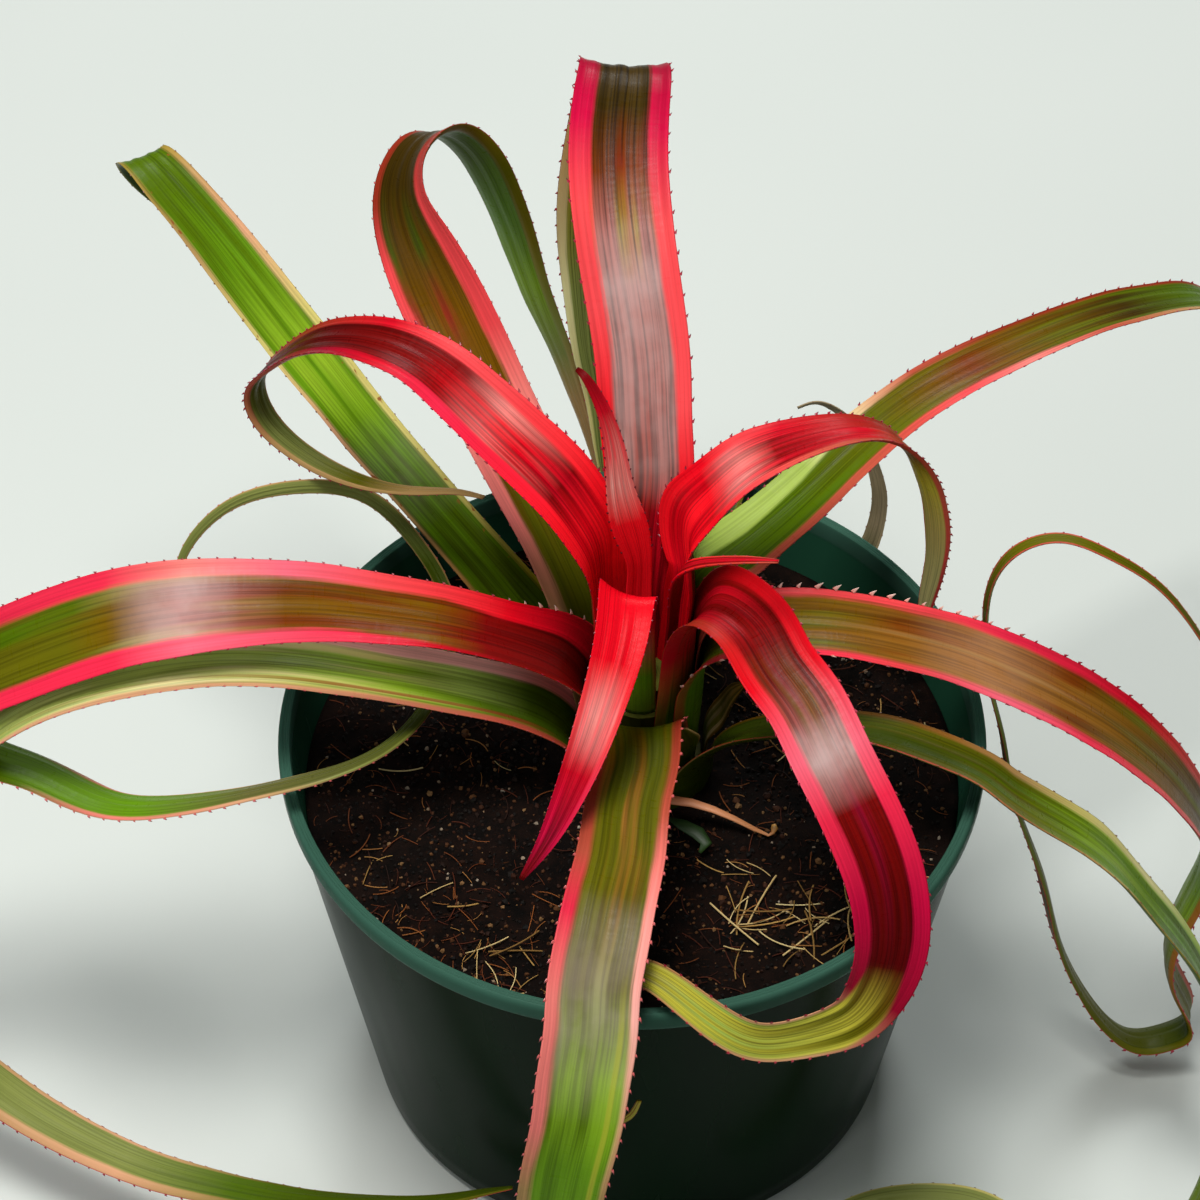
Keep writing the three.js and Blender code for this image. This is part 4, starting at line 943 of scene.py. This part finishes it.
# The tallest leaf rises at the back, grooved and silvery below, and folds over backwards at its top.
# Its red margins turn magenta there.
# The silvery mauve of its face below is partly scales and partly a painted highlight.
skin = leaf_skin(
    "back_leaf_skin", 297,
    centre={33: CRIMSON, 53: CRIMSON, 62: HIGHLIT_MAUVE, 118: HIGHLIT_MAUVE, 132: SIENNA, 148: BARK},
    streaks={33: CRIMSON, 53: MAROON, 62: BRICK, 104: HIGHLIT_MAUVE, 118: MUSTARD, 134: BRICK, 150: BARK},
    left={33: SCARLET, 74: SCARLET, 100: CORAL, 124: CORAL, 144: MAGENTA, 168: WINE},
    left_width={33: 0.34, 84: 0.38, 156: 0.46},
    right={33: SCARLET, 60: SCARLET, 76: CORAL, 118: CORAL, 142: MAGENTA, 168: WINE},
    under={150: BARK, 182: BRONZE, 205: MUSTARD, 240: SAGE, 297: SAGE},
    under_edge={150: BRONZE, 200: TAN, 240: CREAM, 297: STRAW},
    highlight_and_scales={54: 0.0, 64: 0.25, 90: 0.35, 106: 0.5, 122: 0.0}, streak_share=0.55, vein_depth=0.65)
grow_leaf(
    "leaf_back", "leaf_wine", skin, spacing=4.8, spine=1.0, tooth=RED_TOOTH, pleats=0.2,
    azimuth=92, shell=5, top=46, wrap=110, blade=(
        (14.5, 0, 55, 24), (18.5, -1, 63, 22), (25, -2, 71, 21.5), (34, -1.5, 79, 22),
        (45, -1, 88, 22.5), (58, 1, 98, 23), (72, 3, 107, 23.5), (86, 3.5, 114, 23.5),
        (98, 2.5, 118.5, 23), (108, 1.5, 119, 22), (115, 2, 114, 20.5), (118, 4, 104, 18.5),
        (118, 7, 91, 16.5), (117, 10, 76, 14.5), (115, 11.5, 60, 12.5), (112, 11, 43, 10.5),
        (109, 10, 27, 8.5), (106, 8, 13, 6.5), (101, 7, 0, 4), (97, 6, -10, 1.5)))


# The broad leaf on the left turns over outside the picture, and its back shows in a long arc. Its
# face is maroon at the foot and bronze further out, between rose and pink margins.
# Where it arches highest, the silver and pale mauve of its face and its paler margins are a painted
# highlight.
skin = leaf_skin(
    "left_leaf_skin", 440,
    centre={22: GARNET, 54: MAROON, 68: SIENNA, 98: SIENNA, 122: HIGHLIT_MAUVE, 134: BRONZE, 150: OLIVE},
    streaks={22: GARNET, 52: MAROON, 66: BRONZE, 98: BRONZE, 122: TAN, 146: FERN},
    left={22: MAROON, 46: MAROON, 66: CRIMSON, 84: ROSE, 120: PINK, 138: ROSE},
    left_width={22: 0.12, 58: 0.16, 80: 0.34, 92: 0.42},
    right={22: CRIMSON, 46: SCARLET, 76: CORAL, 98: PINK, 120: SALMON, 138: ROSE},
    right_width={22: 0.5, 50: 0.55, 62: 0.42, 125: 0.34},
    under={0: BRONZE, 200: OLIVE, 310: SAGE, 344: SAGE, 372: FERN, 402: MOSS},
    under_edge={0: COPPER, 290: TAN, 344: BUFF, 362: TAN, 380: OLIVE},
    highlight_and_scales={108: 0.0, 119: 0.5, 128: 0.4, 138: 0.0})
grow_leaf(
    "leaf_left", "leaf_wine", skin, spacing=4.0, spine=0.65, tooth=RED_TOOTH, pale_right=28,
    azimuth=182, shell=3, top=26, wrap=130, blade=(
        (17.5, 0, 34, 26), (22, 0, 38.5, 22.5), (31, 0, 43.5, 20), (45, 0, 49.5, 19.5, -3),
        (59, 0, 53, 20, -6), (73, 0, 55.5, 21.5, -9), (88, 0.5, 56.5, 23, -12), (102, 1, 56, 24.5, -16),
        (117, 1.5, 53.5, 25, -20), (132, 2, 48, 25, -22), (147, 2, 40, 24.5, -22),
        (160, 1, 29, 23.5, -20), (171, 3, 14, 22, -12), (179, 8, -4, 20.5, 5), (182, 15, -24, 19, 22),
        (180, 24, -41, 17.5, 34), (173, 33, -56, 16, 40), (161, 41, -67, 14.5, 44),
        (148, 49, -72, 13.5, 46), (134, 57, -74, 12.5, 46), (119, 64, -75, 11.5, 46),
        (104, 69, -75, 10.5, 46), (86, 74, -74, 9, 44), (68, 77, -72, 7, 40), (52, 78, -70, 5, 36),
        (40, 78, -67, 3, 34), (32, 78, -65, 1.2, 34)))


# The broad leaf on the right drops off the bench side, twists, and its tail climbs back in a loop.
# It is bronze between coral margins, with a pale line along its middle.
# The faint silver on its face, and the pink of one margin beside it, are a painted highlight.
skin = leaf_skin(
    "right_leaf_skin", 508,
    centre={31: MOSS, 60: BRONZE, 106: RUST, 150: BRONZE, 190: BARK, 340: OLIVE},
    streaks={31: MOSS, 65: OLIVE, 82: SIENNA, 106: RUST, 128: SIENNA, 150: OLIVE},
    left={31: BRICK, 56: CORAL, 84: CORAL, 108: ROSE, 150: CRIMSON, 200: COPPER},
    left_width={31: 0.3, 65: 0.2, 150: 0.26},
    right={31: BRICK, 60: ROSE, 84: CORAL, 108: PINK, 132: ROSE, 200: COPPER},
    right_width={31: 0.3, 65: 0.26, 120: 0.3},
    under={190: GRASS, 212: LIME, 232: OLIVE, 250: PINE, 290: OLIVE, 384: DRAB},
    under_edge={190: RUST, 225: RUST, 262: OLIVE, 384: SAGE},
    highlight_and_scales={84: 0.0, 97: 0.12, 112: 0.1, 124: 0.0},
    midline=(0.12, {62: 0.0, 84: 0.25, 116: 0.35, 140: 0.0}, TAN))
grow_leaf(
    "leaf_right", "leaf_wine", skin, spacing=4.2, spine=1.0, tooth=RED_TOOTH, pale_left=90, pale_right=44,
    azimuth=-3, shell=3, top=36, wrap=120, blade=(
        (16.5, 0, 43, 25), (21, 0, 46.5, 22.5), (29, 0, 48.5, 21), (39, 0, 49.5, 20.5),
        (50, 0, 48.5, 20.5), (61, 0, 46, 21), (73, 0, 42, 22), (86, 0, 35.5, 23), (98, 0, 28, 23.5),
        (110, 0, 18.5, 23.5), (121, 0, 7, 23), (130, 0, -6, 22), (136, 0, -21, 20),
        (135, -1, -38, 17.5), (131, -3, -57, 16), (134, -4, -74, 15), (139, -6, -86, 14),
        (133, -8, -91, 13), (123, -9, -90, 12.5), (112, -5, -78, 11.5), (104, -2, -60, 9.5),
        (98, 1, -38, 7), (90, 4, -15, 4.5), (86, 11, 0, 4), (82, 17, 12, 3.8), (80, 21, 25, 3.6),
        (80, 23, 40, 3.6), (85, 24, 52, 3.4), (95, 25, 56, 3.2), (106, 23, 53.5, 3), (119, 22, 44, 2.6),
        (130, 19, 30, 2), (138, 18, 15, 1.2)))


# The long leaf at the back right is pale green and cream along one margin and coral along the
# other, and its end droops outside the picture.
skin = leaf_skin(
    "back_right_leaf_skin", 327,
    centre={34: FERN, 80: FERN, 106: OLIVE, 136: BRONZE, 176: BARK, 202: FERN},
    streaks={34: FERN, 70: FERN, 99: OLIVE, 125: SIENNA, 150: OLIVE, 202: FERN},
    left={34: LIME, 54: CELERY, 78: CELERY, 90: CREAM, 100: BUFF, 112: COPPER, 140: BRICK},
    left_width={34: 0.5, 57: 0.7, 76: 0.6, 96: 0.3, 112: 0.2, 139: 0.16},
    right={34: COPPER, 90: COPPER, 120: CORAL, 138: SALMON, 165: COPPER, 202: TAN},
    right_width={34: 0.34, 139: 0.3, 177: 0.22},
    under={0: FERN, 327: FERN}, under_edge={0: COPPER, 327: TAN})
grow_leaf(
    "leaf_back_right", "leaf_green", skin, spacing=4.8, spine=0.8, tooth=RED_TOOTH,
    azimuth=38, shell=4, top=42, wrap=150, blade=(
        (16, 0, 47.5, 23), (20, 0, 51, 21), (28, 0, 53, 19), (40, 0, 56.5, 17.5), (52, 0, 61.5, 16.5),
        (66, 0, 67.5, 15.5), (82, 0, 71, 15), (99, 0, 70.8, 14.5), (119, 0, 68, 13.5),
        (140, 0, 63.3, 13), (160, 0, 56, 12.5), (174, 0, 48.5, 12), (184, 0, 38, 11.5),
        (189.5, 0, 25, 11), (192, -1, 11, 10), (192.5, -2, -4, 8.5), (192, -3, -19, 7),
        (191, -4, -33, 5.5), (190, -6, -46, 4), (188, -8, -57, 2.5), (185.5, -10, -66, 1.2)))


# The lowest leaf at the back is narrow and dull, and its tail curls up behind the lip. It is dry
# and greyish towards its tip.
skin = leaf_skin(
    "low_back_right_leaf_skin", 232,
    centre={9: MOSS, 130: MOSS, 165: PINE, 178: ASH}, streaks={9: PINE, 165: PINE, 178: ASH},
    left={9: OLIVE, 130: OLIVE, 178: ASH}, left_width={9: 0.2, 232: 0.3},
    under={9: MOSS, 130: BARK, 165: PINE, 178: ASH}, under_edge={9: OLIVE, 165: BARK, 178: ASH})
grow_leaf(
    "leaf_back_low", "leaf_green", skin, spacing=5.0, spine=0.3, tooth=GREEN_TOOTH,
    azimuth=72, shell=1, top=7, wrap=88, blade=(
        (19, 0, 15, 19), (26, 0, 20, 16), (37, 0, 25, 14), (49, 0, 28, 12.5), (62, 0, 28.5, 11.5),
        (74, 0, 26, 11), (84, -1, 17, 11), (90, -3, 3, 10.5), (94, -7, -14, 10), (99, -12, -31, 9, 15),
        (106, -17.5, -42, 7.5, 35), (112, -22.5, -43, 6.2, 50), (116, -25.5, -36, 5.2, 60),
        (118, -26.5, -27, 4.6, 64), (118.5, -26, -18, 4.2, 66), (119, -23, -8, 3.6, 68),
        (118, -19, 2, 3, 70), (116, -14.5, 9, 2.4, 70), (113.5, -9.5, 13, 1.8, 70),
        (111, -5, 12, 1.2, 70)))


# The inner leaves are vivid red. One arches over the lip on the front right, and its end turns into a
# striped yellow-green ribbon that runs across the front of the pot.
# Where it bends, the silver and pale mauve of its face and the pink of its margins are a painted highlight.
# The yellow-green foot of its sheath is painted lighter than it is, as painted light against the shade in
# the cup.
skin = leaf_skin(
    "front_right_leaf_skin", 283,
    centre={40: MAROON, 76: MAROON, 98: HIGHLIT_MAUVE, 110: MAROON, 148: GARNET, 164: GOLD, 196: CELERY,
            230: RUST},
    streaks={40: CRIMSON, 68: MAROON, 86: BRONZE, 98: HIGHLIT_MAUVE, 110: WINE, 148: GARNET, 164: OLIVE,
             196: GOLD},
    left={40: MAROON, 78: SCARLET, 97: PINK, 110: ROSE, 134: MAGENTA, 156: WINE, 174: BUFF, 230: RUST},
    left_width={37: 0.34, 90: 0.4, 150: 0.46, 166: 0.14},
    right={47: BRICK, 76: SCARLET, 97: PINK, 110: ROSE, 132: MAGENTA, 156: WINE, 174: BUFF, 230: RUST},
    right_width={37: 0.34, 90: 0.42, 150: 0.46, 166: 0.14},
    under={0: LIME, 13: GRASS, 24: RUST, 34: CRIMSON, 166: OLIVE},
    under_edge={0: LIME, 18: RUST, 34: CRIMSON, 166: RUST},
    highlight_and_scales={88: 0.0, 93: 0.45, 98: 0.65, 103: 0.3, 110: 0.0}, vein_depth=0.5)
grow_leaf(
    "leaf_front_right", "leaf_red", skin, spacing=4.0, spine=0.8, tooth=RED_TOOTH,
    azimuth=-22, shell=5, top=50, wrap=110, blade=(
        (15, 1, 58, 22), (20, 0, 62.5, 20), (29, -5, 64, 19), (37, -12, 62.5, 18.5),
        (46, -18, 60, 18.5), (55, -26, 56, 18.5), (64, -33, 50, 18.5), (72, -39, 42, 18.5),
        (77, -44, 32, 18), (79, -50, 22, 17), (77, -57, 14, 14.5), (72, -63, 11, 12),
        (63, -70, 10.5, 10), (55, -75.5, 14.5, 9), (45, -77, 21.5, 8), (35, -75.5, 25, 7),
        (27, -77, 26, 6), (21, -83, 25, 5.2), (18.5, -91, 20, 4.6), (20, -96, 10, 4),
        (24.5, -96, 0, 3.4), (30, -93.5, -7.5, 2.8), (34.5, -91, -7.5, 2), (36.5, -89.5, -2, 1.2)))


# This one arches to the left and curls under, ending in a thin dry tip. Its face is deeply grooved,
# scarlet at the foot and dark red where it turns.
# Its scarlet foot is painted brighter than it is, as painted light against the shade at the plant's heart,
# and the pale salmon and silver where it bends are a painted highlight.
skin = leaf_skin(
    "inner_left_leaf_skin", 245,
    centre={40: LIT_SCARLET, 56: LIT_SCARLET, 67: CRIMSON, 87: SCARLET, 110: MAROON, 140: GARNET},
    streaks={40: SCARLET, 56: SCARLET, 67: MAROON, 87: SALMON, 99: MAROON, 140: GARNET},
    left={40: LIT_SCARLET, 62: LIT_SCARLET, 98: ROSE, 118: CRIMSON, 134: WINE},
    left_width={40: 0.5, 62: 0.5, 86: 0.4},
    right={40: LIT_SCARLET, 62: LIT_SCARLET, 92: CORAL, 106: CORAL, 120: CRIMSON, 144: BRICK},
    right_width={40: 0.5, 62: 0.42, 86: 0.36},
    under={120: BRONZE, 166: OLIVE, 184: SAGE, 208: OLIVE, 224: TAN},
    under_edge={120: BRICK, 166: COPPER, 186: TAN}, highlight_and_scales={80: 0.0, 90: 0.15, 102: 0.0},
    vein_depth=0.5)
grow_leaf(
    "leaf_inner_left", "leaf_red", skin, spacing=2.8, spine=0.9, tooth=RED_TOOTH, pleats=0.18,
    azimuth=150, shell=6, top=58, wrap=105, blade=(
        (12.5, 0, 67, 20), (15.5, 1, 75, 20.5), (21.5, 1.5, 83, 21), (31, 1.5, 90, 20.5),
        (43, 1, 97, 19.5), (55, 0, 102, 17.5), (66, 0, 103, 15.5), (77, 0, 100, 14), (88, 0, 93, 12.5),
        (97, 0, 83, 11), (103, 0, 74, 9.5), (104, 0, 66, 8.5), (100, 0, 59, 7.5), (91, 0, 54.5, 6.5),
        (80, 0, 53.5, 5.2), (68, 0, 56, 3.8), (57, 0, 61, 2.8), (49, 0, 65, 2), (42, 0, 67, 1.2)))


# Its neighbour arches to the right, and the back of its tail is yellow-green with pink margins. It
# is scarlet at the foot too, with a pale patch where it bends.
# Its scarlet foot is painted brighter than it is, as painted light against the shade at the plant's heart,
# and its pale patch is a painted highlight. The dark garnet of its back at the foot is painted shade inside
# the cup.
skin = leaf_skin(
    "inner_right_leaf_skin", 194,
    centre={36: SCARLET, 45: LIT_SCARLET, 60: LIT_SCARLET, 70: SCARLET, 77: CORAL, 87: CRIMSON, 122: BRICK},
    streaks={36: CRIMSON, 54: SCARLET, 70: SCARLET, 77: SALMON, 85: MAROON, 106: CRIMSON, 124: BRONZE},
    left={36: SCARLET, 50: LIT_SCARLET, 68: SCARLET, 77: CORAL, 88: CRIMSON, 112: BRICK, 136: TAN},
    left_width={43: 0.25, 120: 0.3},
    right={36: SCARLET, 50: LIT_SCARLET, 68: SCARLET, 77: CORAL, 98: COPPER, 116: BRICK, 150: BUFF},
    under={38: GARNET, 122: BRONZE, 134: GOLD, 152: STRAW, 194: CREAM},
    under_edge={38: CRIMSON, 106: BRICK, 136: COPPER, 184: CORAL}, highlight_and_scales={66: 0.0, 75: 0.22, 82: 0.0},
    vein_depth=0.45)
grow_leaf(
    "leaf_inner_right", "leaf_red", skin, spacing=2.8, spine=0.8, tooth=RED_TOOTH,
    azimuth=18, shell=6, top=60, wrap=105, blade=(
        (12, 3.5, 67, 21.5), (13, 4.4, 74, 21.5), (16.8, 2.8, 82, 18.4), (24, 1.4, 90.8, 17, -4),
        (34, 1, 94.8, 14.5, -8), (45, 0, 96.5, 12, -14), (54, 0, 94, 10.5, -18), (61, 0, 87.5, 10, -22),
        (66, 0, 77.5, 9.5, -27), (69.5, 0, 65, 9, -30), (71, 0, 53, 8, -32), (71, 0, 43, 6.5, -32),
        (70, 0, 33, 4.8, -32), (69, 0, 23, 2.8, -32), (67, 0, 14, 1.2, -32)))


# The red leaf in front droops down to a magenta point. Its sheath is yellow-green at the foot, as
# that of the leaf on the front right is.
# The coral, salmon and silver where it bends are a painted highlight, and the yellow-green foot of its
# sheath is painted lighter than it is, as painted light against the shade in the cup.
skin = leaf_skin(
    "inner_front_leaf_skin", 117,
    centre={30: SCARLET, 64: SCARLET, 80: CORAL, 90: CRIMSON, 106: MAGENTA, 117: MAROON},
    streaks={30: SCARLET, 64: SCARLET, 77: SALMON, 88: CRIMSON, 104: WINE, 117: MAROON},
    left={30: SCARLET, 68: SCARLET, 82: CORAL, 92: ROSE, 106: MAGENTA, 117: WINE},
    left_width={37: 0.2, 117: 0.3},
    right={30: SCARLET, 64: SCARLET, 78: CORAL, 90: CRIMSON, 106: MAGENTA, 117: MAROON},
    under={0: LIME, 14: GRASS, 25: COPPER, 33: CRIMSON, 117: WINE},
    under_edge={0: LIME, 18: RUST, 33: CRIMSON, 117: MAGENTA},
    highlight_and_scales={66: 0.0, 76: 0.25, 84: 0.15, 90: 0.0}, vein_depth=0.3)
grow_leaf(
    "leaf_inner_front", "leaf_red", skin, spacing=2.6, spine=0.35, tooth=RED_TOOTH,
    azimuth=250, shell=7, top=60, wrap=100, blade=(
        (10, 0, 67, 14), (14, 1, 71, 13.5), (22, 3, 69, 12.5), (32, 4, 64, 11), (43, 4, 57.5, 9.5),
        (53, 3, 50.5, 7.5), (62, 1, 43, 4.5), (68, -3, 34, 1.2)))


# The heart leaf stands up in the middle of the plant, in the innermost shell. It is scarlet and
# salmon, and its hooked tip is dark.
# Its scarlet foot is painted brighter than it is, as painted light against the shade at the plant's heart.
skin = leaf_skin(
    "heart_leaf_skin", 90,
    centre={33: LIT_SCARLET, 46: LIT_SCARLET, 56: SALMON, 66: SALMON, 78: CRIMSON, 90: GARNET},
    streaks={33: SCARLET, 46: LIT_SCARLET, 58: BLUSH, 66: CORAL, 78: CRIMSON, 90: GARNET},
    left={33: LIT_SCARLET, 48: LIT_SCARLET, 57: SALMON, 68: CORAL, 80: CRIMSON, 90: GARNET},
    left_width={34: 0.3, 90: 0.3},
    under={0: CRIMSON, 90: GARNET}, under_edge={0: SCARLET, 90: GARNET}, vein_depth=0.3)
grow_leaf(
    "leaf_heart", "leaf_red", skin, spacing=2.6, spine=0.7, tooth="#6a0a18", columns=17,
    azimuth=100, shell=8, top=64, wrap=90, blade=(
        (6, 2, 75, 8.6), (7, 4, 86, 6.8), (8.5, 5, 97, 5), (11, 7, 107, 3.4), (14, 10, 114, 2.2),
        (17, 12, 115, 1.2)))


# A young leaf beside the cup is still a thin red ribbon. It shares its shell with the leaf in front
# and leans away from it.
skin = leaf_skin(
    "curl_leaf_skin", 76,
    centre={34: GARNET, 44: MAROON, 54: CRIMSON}, streaks={34: GARNET, 54: MAROON},
    left={34: GARNET, 50: SCARLET, 76: COPPER}, left_width={34: 0.25, 76: 0.3},
    under={0: GARNET, 44: MAROON, 76: CRIMSON}, under_edge={0: MAROON, 76: CRIMSON}, vein_depth=0.3)
grow_leaf(
    "leaf_curl", "leaf_red", skin, spacing=3.0, spine=0.3, tooth=RED_TOOTH, columns=13,
    azimuth=-32, shell=7, top=58, wrap=45, blade=(
        (9.2, 0, 65, 6.5), (10.2, -0.5, 71.5, 5.5), (13.5, -1, 76.5, 4.2), (18, -0.5, 80, 3.4),
        (26, 1, 84, 2.6), (33, 3, 86, 1.2)))


# Two short bracts clasp the foot of the plant on its right: one green and striped, one dry and tan.
# They are leaves that stopped growing, without teeth to speak of.
skin = leaf_skin(
    "green_bract_skin", 31,
    centre={0: MOSS, 31: MOSS}, streaks={0: SAGE, 31: OLIVE},
    left={0: OLIVE, 31: TAN}, left_width={0: 0.1, 31: 0.2},
    under={0: PINE, 20: MOSS, 31: OLIVE}, under_edge={0: OLIVE, 31: TAN}, vein_depth=0.6)
grow_leaf(
    "bract_front", "leaf_green", skin, spacing=9.0, spine=0.1, tooth=GREEN_TOOTH, columns=17,
    azimuth=-64, shell=1, top=14, wrap=46, blade=(
        (17.4, 0, 20, 15.5), (18, 0, 25, 11), (18.4, 0, 28.5, 6), (18.6, 0, 30, 1.5)))
skin = leaf_skin(
    "dry_bract_skin", 29,
    centre={0: ASH, 29: BRONZE}, streaks={0: OLIVE, 29: BARK},
    left={0: BRONZE, 29: BARK}, left_width={0: 0.15, 29: 0.3},
    under={0: OLIVE, 10: ASH, 22: TAN, 29: BRONZE}, under_edge={0: OLIVE, 29: BARK}, gloss=0.5)
grow_leaf(
    "bract_right", "bract", skin, spacing=9.0, spine=0.1, tooth=GREEN_TOOTH, columns=17,
    azimuth=0, shell=1, top=10, wrap=34, blade=(
        (19, 0, 16, 10.5), (21, 0, 21.5, 8), (23, 0, 25, 4), (24, 0, 26, 1.5)))


# Small horny spines stand along the margins of every leaf, leaning towards its tip. Near the foot
# of the broad leaves they are long and whitish, and elsewhere short, with dark points.
SPINE_SEED = 3
SPINE_LEAN = 0.7
SPINE_BEND = 0.35
SPINE_BREADTH, LEAST_BREADTH = 0.45, 0.4
SPINE_THICKNESS, LEAST_THICKNESS = 0.12, 0.35


def spine_tree(finish):
    """A tree that sets a small bent cone at every spacing along the margins."""
    tree, given = open_tree("margin_spines", "Margins", "Lean")

    def named(word, kind="FLOAT"):
        """A value that is stored on the margins under a name."""
        return add(tree, "GeometryNodeInputNamedAttribute", {0: word}, data_type=kind).outputs[0]

    def varied(low, high):
        """A number drawn at random between two others."""
        return add(tree, "FunctionNodeRandomValue", {2: low, 3: high, "Seed": given["Seed"]},
                   data_type="FLOAT").outputs[1]

    def grown(size, share, least):
        """A share of a spine's size, and at least so much."""
        return sums(tree, "ADD", sums(tree, "MULTIPLY", size, share), least * MM)

    curves = add(tree, "GeometryNodeMeshToCurve", {0: given["Margins"]}).outputs[0]
    spaced = add(tree, "GeometryNodeResampleCurve", {"Curve": curves, "Length": named("spacing")},
                 mode="LENGTH").outputs[0]
    cone = add(tree, "GeometryNodeMeshCone", {"Vertices": 6, "Side Segments": 3, "Radius Top": 0.04,
                                              "Radius Bottom": 0.5, "Depth": 1.0}).outputs[0]
    position = add(tree, "GeometryNodeInputPosition").outputs[0]
    height = add(tree, "ShaderNodeSeparateXYZ", {0: position}).outputs[2]
    curve = sums(tree, "MULTIPLY", sums(tree, "MULTIPLY", height, height), SPINE_BEND)
    bend = add(tree, "ShaderNodeCombineXYZ", {0: curve})
    bent = add(tree, "GeometryNodeSetPosition", {0: cone, "Offset": bend.outputs[0]}).outputs[0]
    tipped = add(tree, "GeometryNodeStoreNamedAttribute", {0: bent, "Name": "tip", "Value": height},
                 data_type="FLOAT", domain="POINT").outputs[0]
    push = sums(tree, "MULTIPLY", varied(0.4, 1.2), given["Lean"])
    ahead, outward = named("ahead", "FLOAT_VECTOR"), named("outward", "FLOAT_VECTOR")
    along = add(tree, "ShaderNodeVectorMath", {0: ahead, "Scale": push}, operation="SCALE").outputs[0]
    aim = add(tree, "ShaderNodeVectorMath", {0: outward, 1: along}, operation="ADD").outputs[0]
    turn = add(tree, "FunctionNodeAxesToRotation", {0: aim, 1: ahead},
               primary_axis="Z", secondary_axis="X").outputs[0]
    size = sums(tree, "MULTIPLY", varied(0.6, 1.15), named("size"))
    scale = add(tree, "ShaderNodeCombineXYZ",
                {0: grown(size, SPINE_BREADTH, LEAST_BREADTH),
                 1: grown(size, SPINE_THICKNESS, LEAST_THICKNESS), 2: size}).outputs[0]
    placed = add(tree, "GeometryNodeInstanceOnPoints",
                 {"Points": spaced, "Instance": tipped, "Rotation": turn, "Scale": scale}).outputs[0]
    close_tree(tree, placed, finish)
    return tree


horn, tree, shader = new_material("spine_horn", roughness=0.4)
tip = attribute(tree, "tip")
point = blend(tree, between(tree, tip, 0.3, 0.85), attribute(tree, "tint", "Color"), paint("#4a1014"))
white = blend(tree, tip, paint("#d8786c"), paint("#ecd4c4"))
tree.links.new(blend(tree, attribute(tree, "pale"), point, white), shader.inputs["Base Color"])

KINDS = {"outward": ("FLOAT_VECTOR", "vector"), "ahead": ("FLOAT_VECTOR", "vector"),
         "size": ("FLOAT", "value"), "pale": ("FLOAT", "value"), "spacing": ("FLOAT", "value"),
         "tint": ("FLOAT_COLOR", "color")}
points, edges = [], []
words = {word: [] for word in KINDS}
for line, outward, ahead, sizes, pales, spacing, tooth in rails:
    edges += [(len(points) + i, len(points) + i + 1) for i in range(len(line) - 1)]
    points += [tuple(p) for p in line * MM]
    for word, values in zip(KINDS, (outward, ahead, sizes * MM, pales, [spacing * MM] * len(line),
                                    [paint(tooth)] * len(line))):
        words[word] += list(values)
mesh = bpy.data.meshes.new("margin_spines")
mesh.from_pydata(points, edges, [])
for word, (kind, field) in KINDS.items():
    mesh.attributes.new(word, kind, "POINT").data.foreach_set(field, np.array(words[word]).ravel())
spines = bpy.data.objects.new("margin_spines", mesh)
bpy.context.scene.collection.objects.link(spines)
placer = spines.modifiers.new("spines", "NODES")
placer.node_group = spine_tree(horn)
set_input(placer, "Lean", SPINE_LEAN)
set_input(placer, "Seed", SPINE_SEED)
finish_shape(spines)
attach(spines, "root")


# The short stem stands in the mix, hidden by the sheaths that clasp it. Its solid keeps its shape
# and gets a husky olive skin.
stem_skin, tree, shader = new_material("stem_skin", roughness=0.6, specular=0.1)
place = add(tree, "ShaderNodeTexCoord").outputs["Object"]
husk = grains(tree, stretched(tree, place, (1, 1, 0.2)), 400.0, 4.0)
tree.links.new(blend(tree, husk, paint("#2c3408"), paint("#5c5c1c")), shader.inputs["Base Color"])
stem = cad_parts["stem"]
stem.data.materials.clear()
stem.data.materials.append(stem_skin)
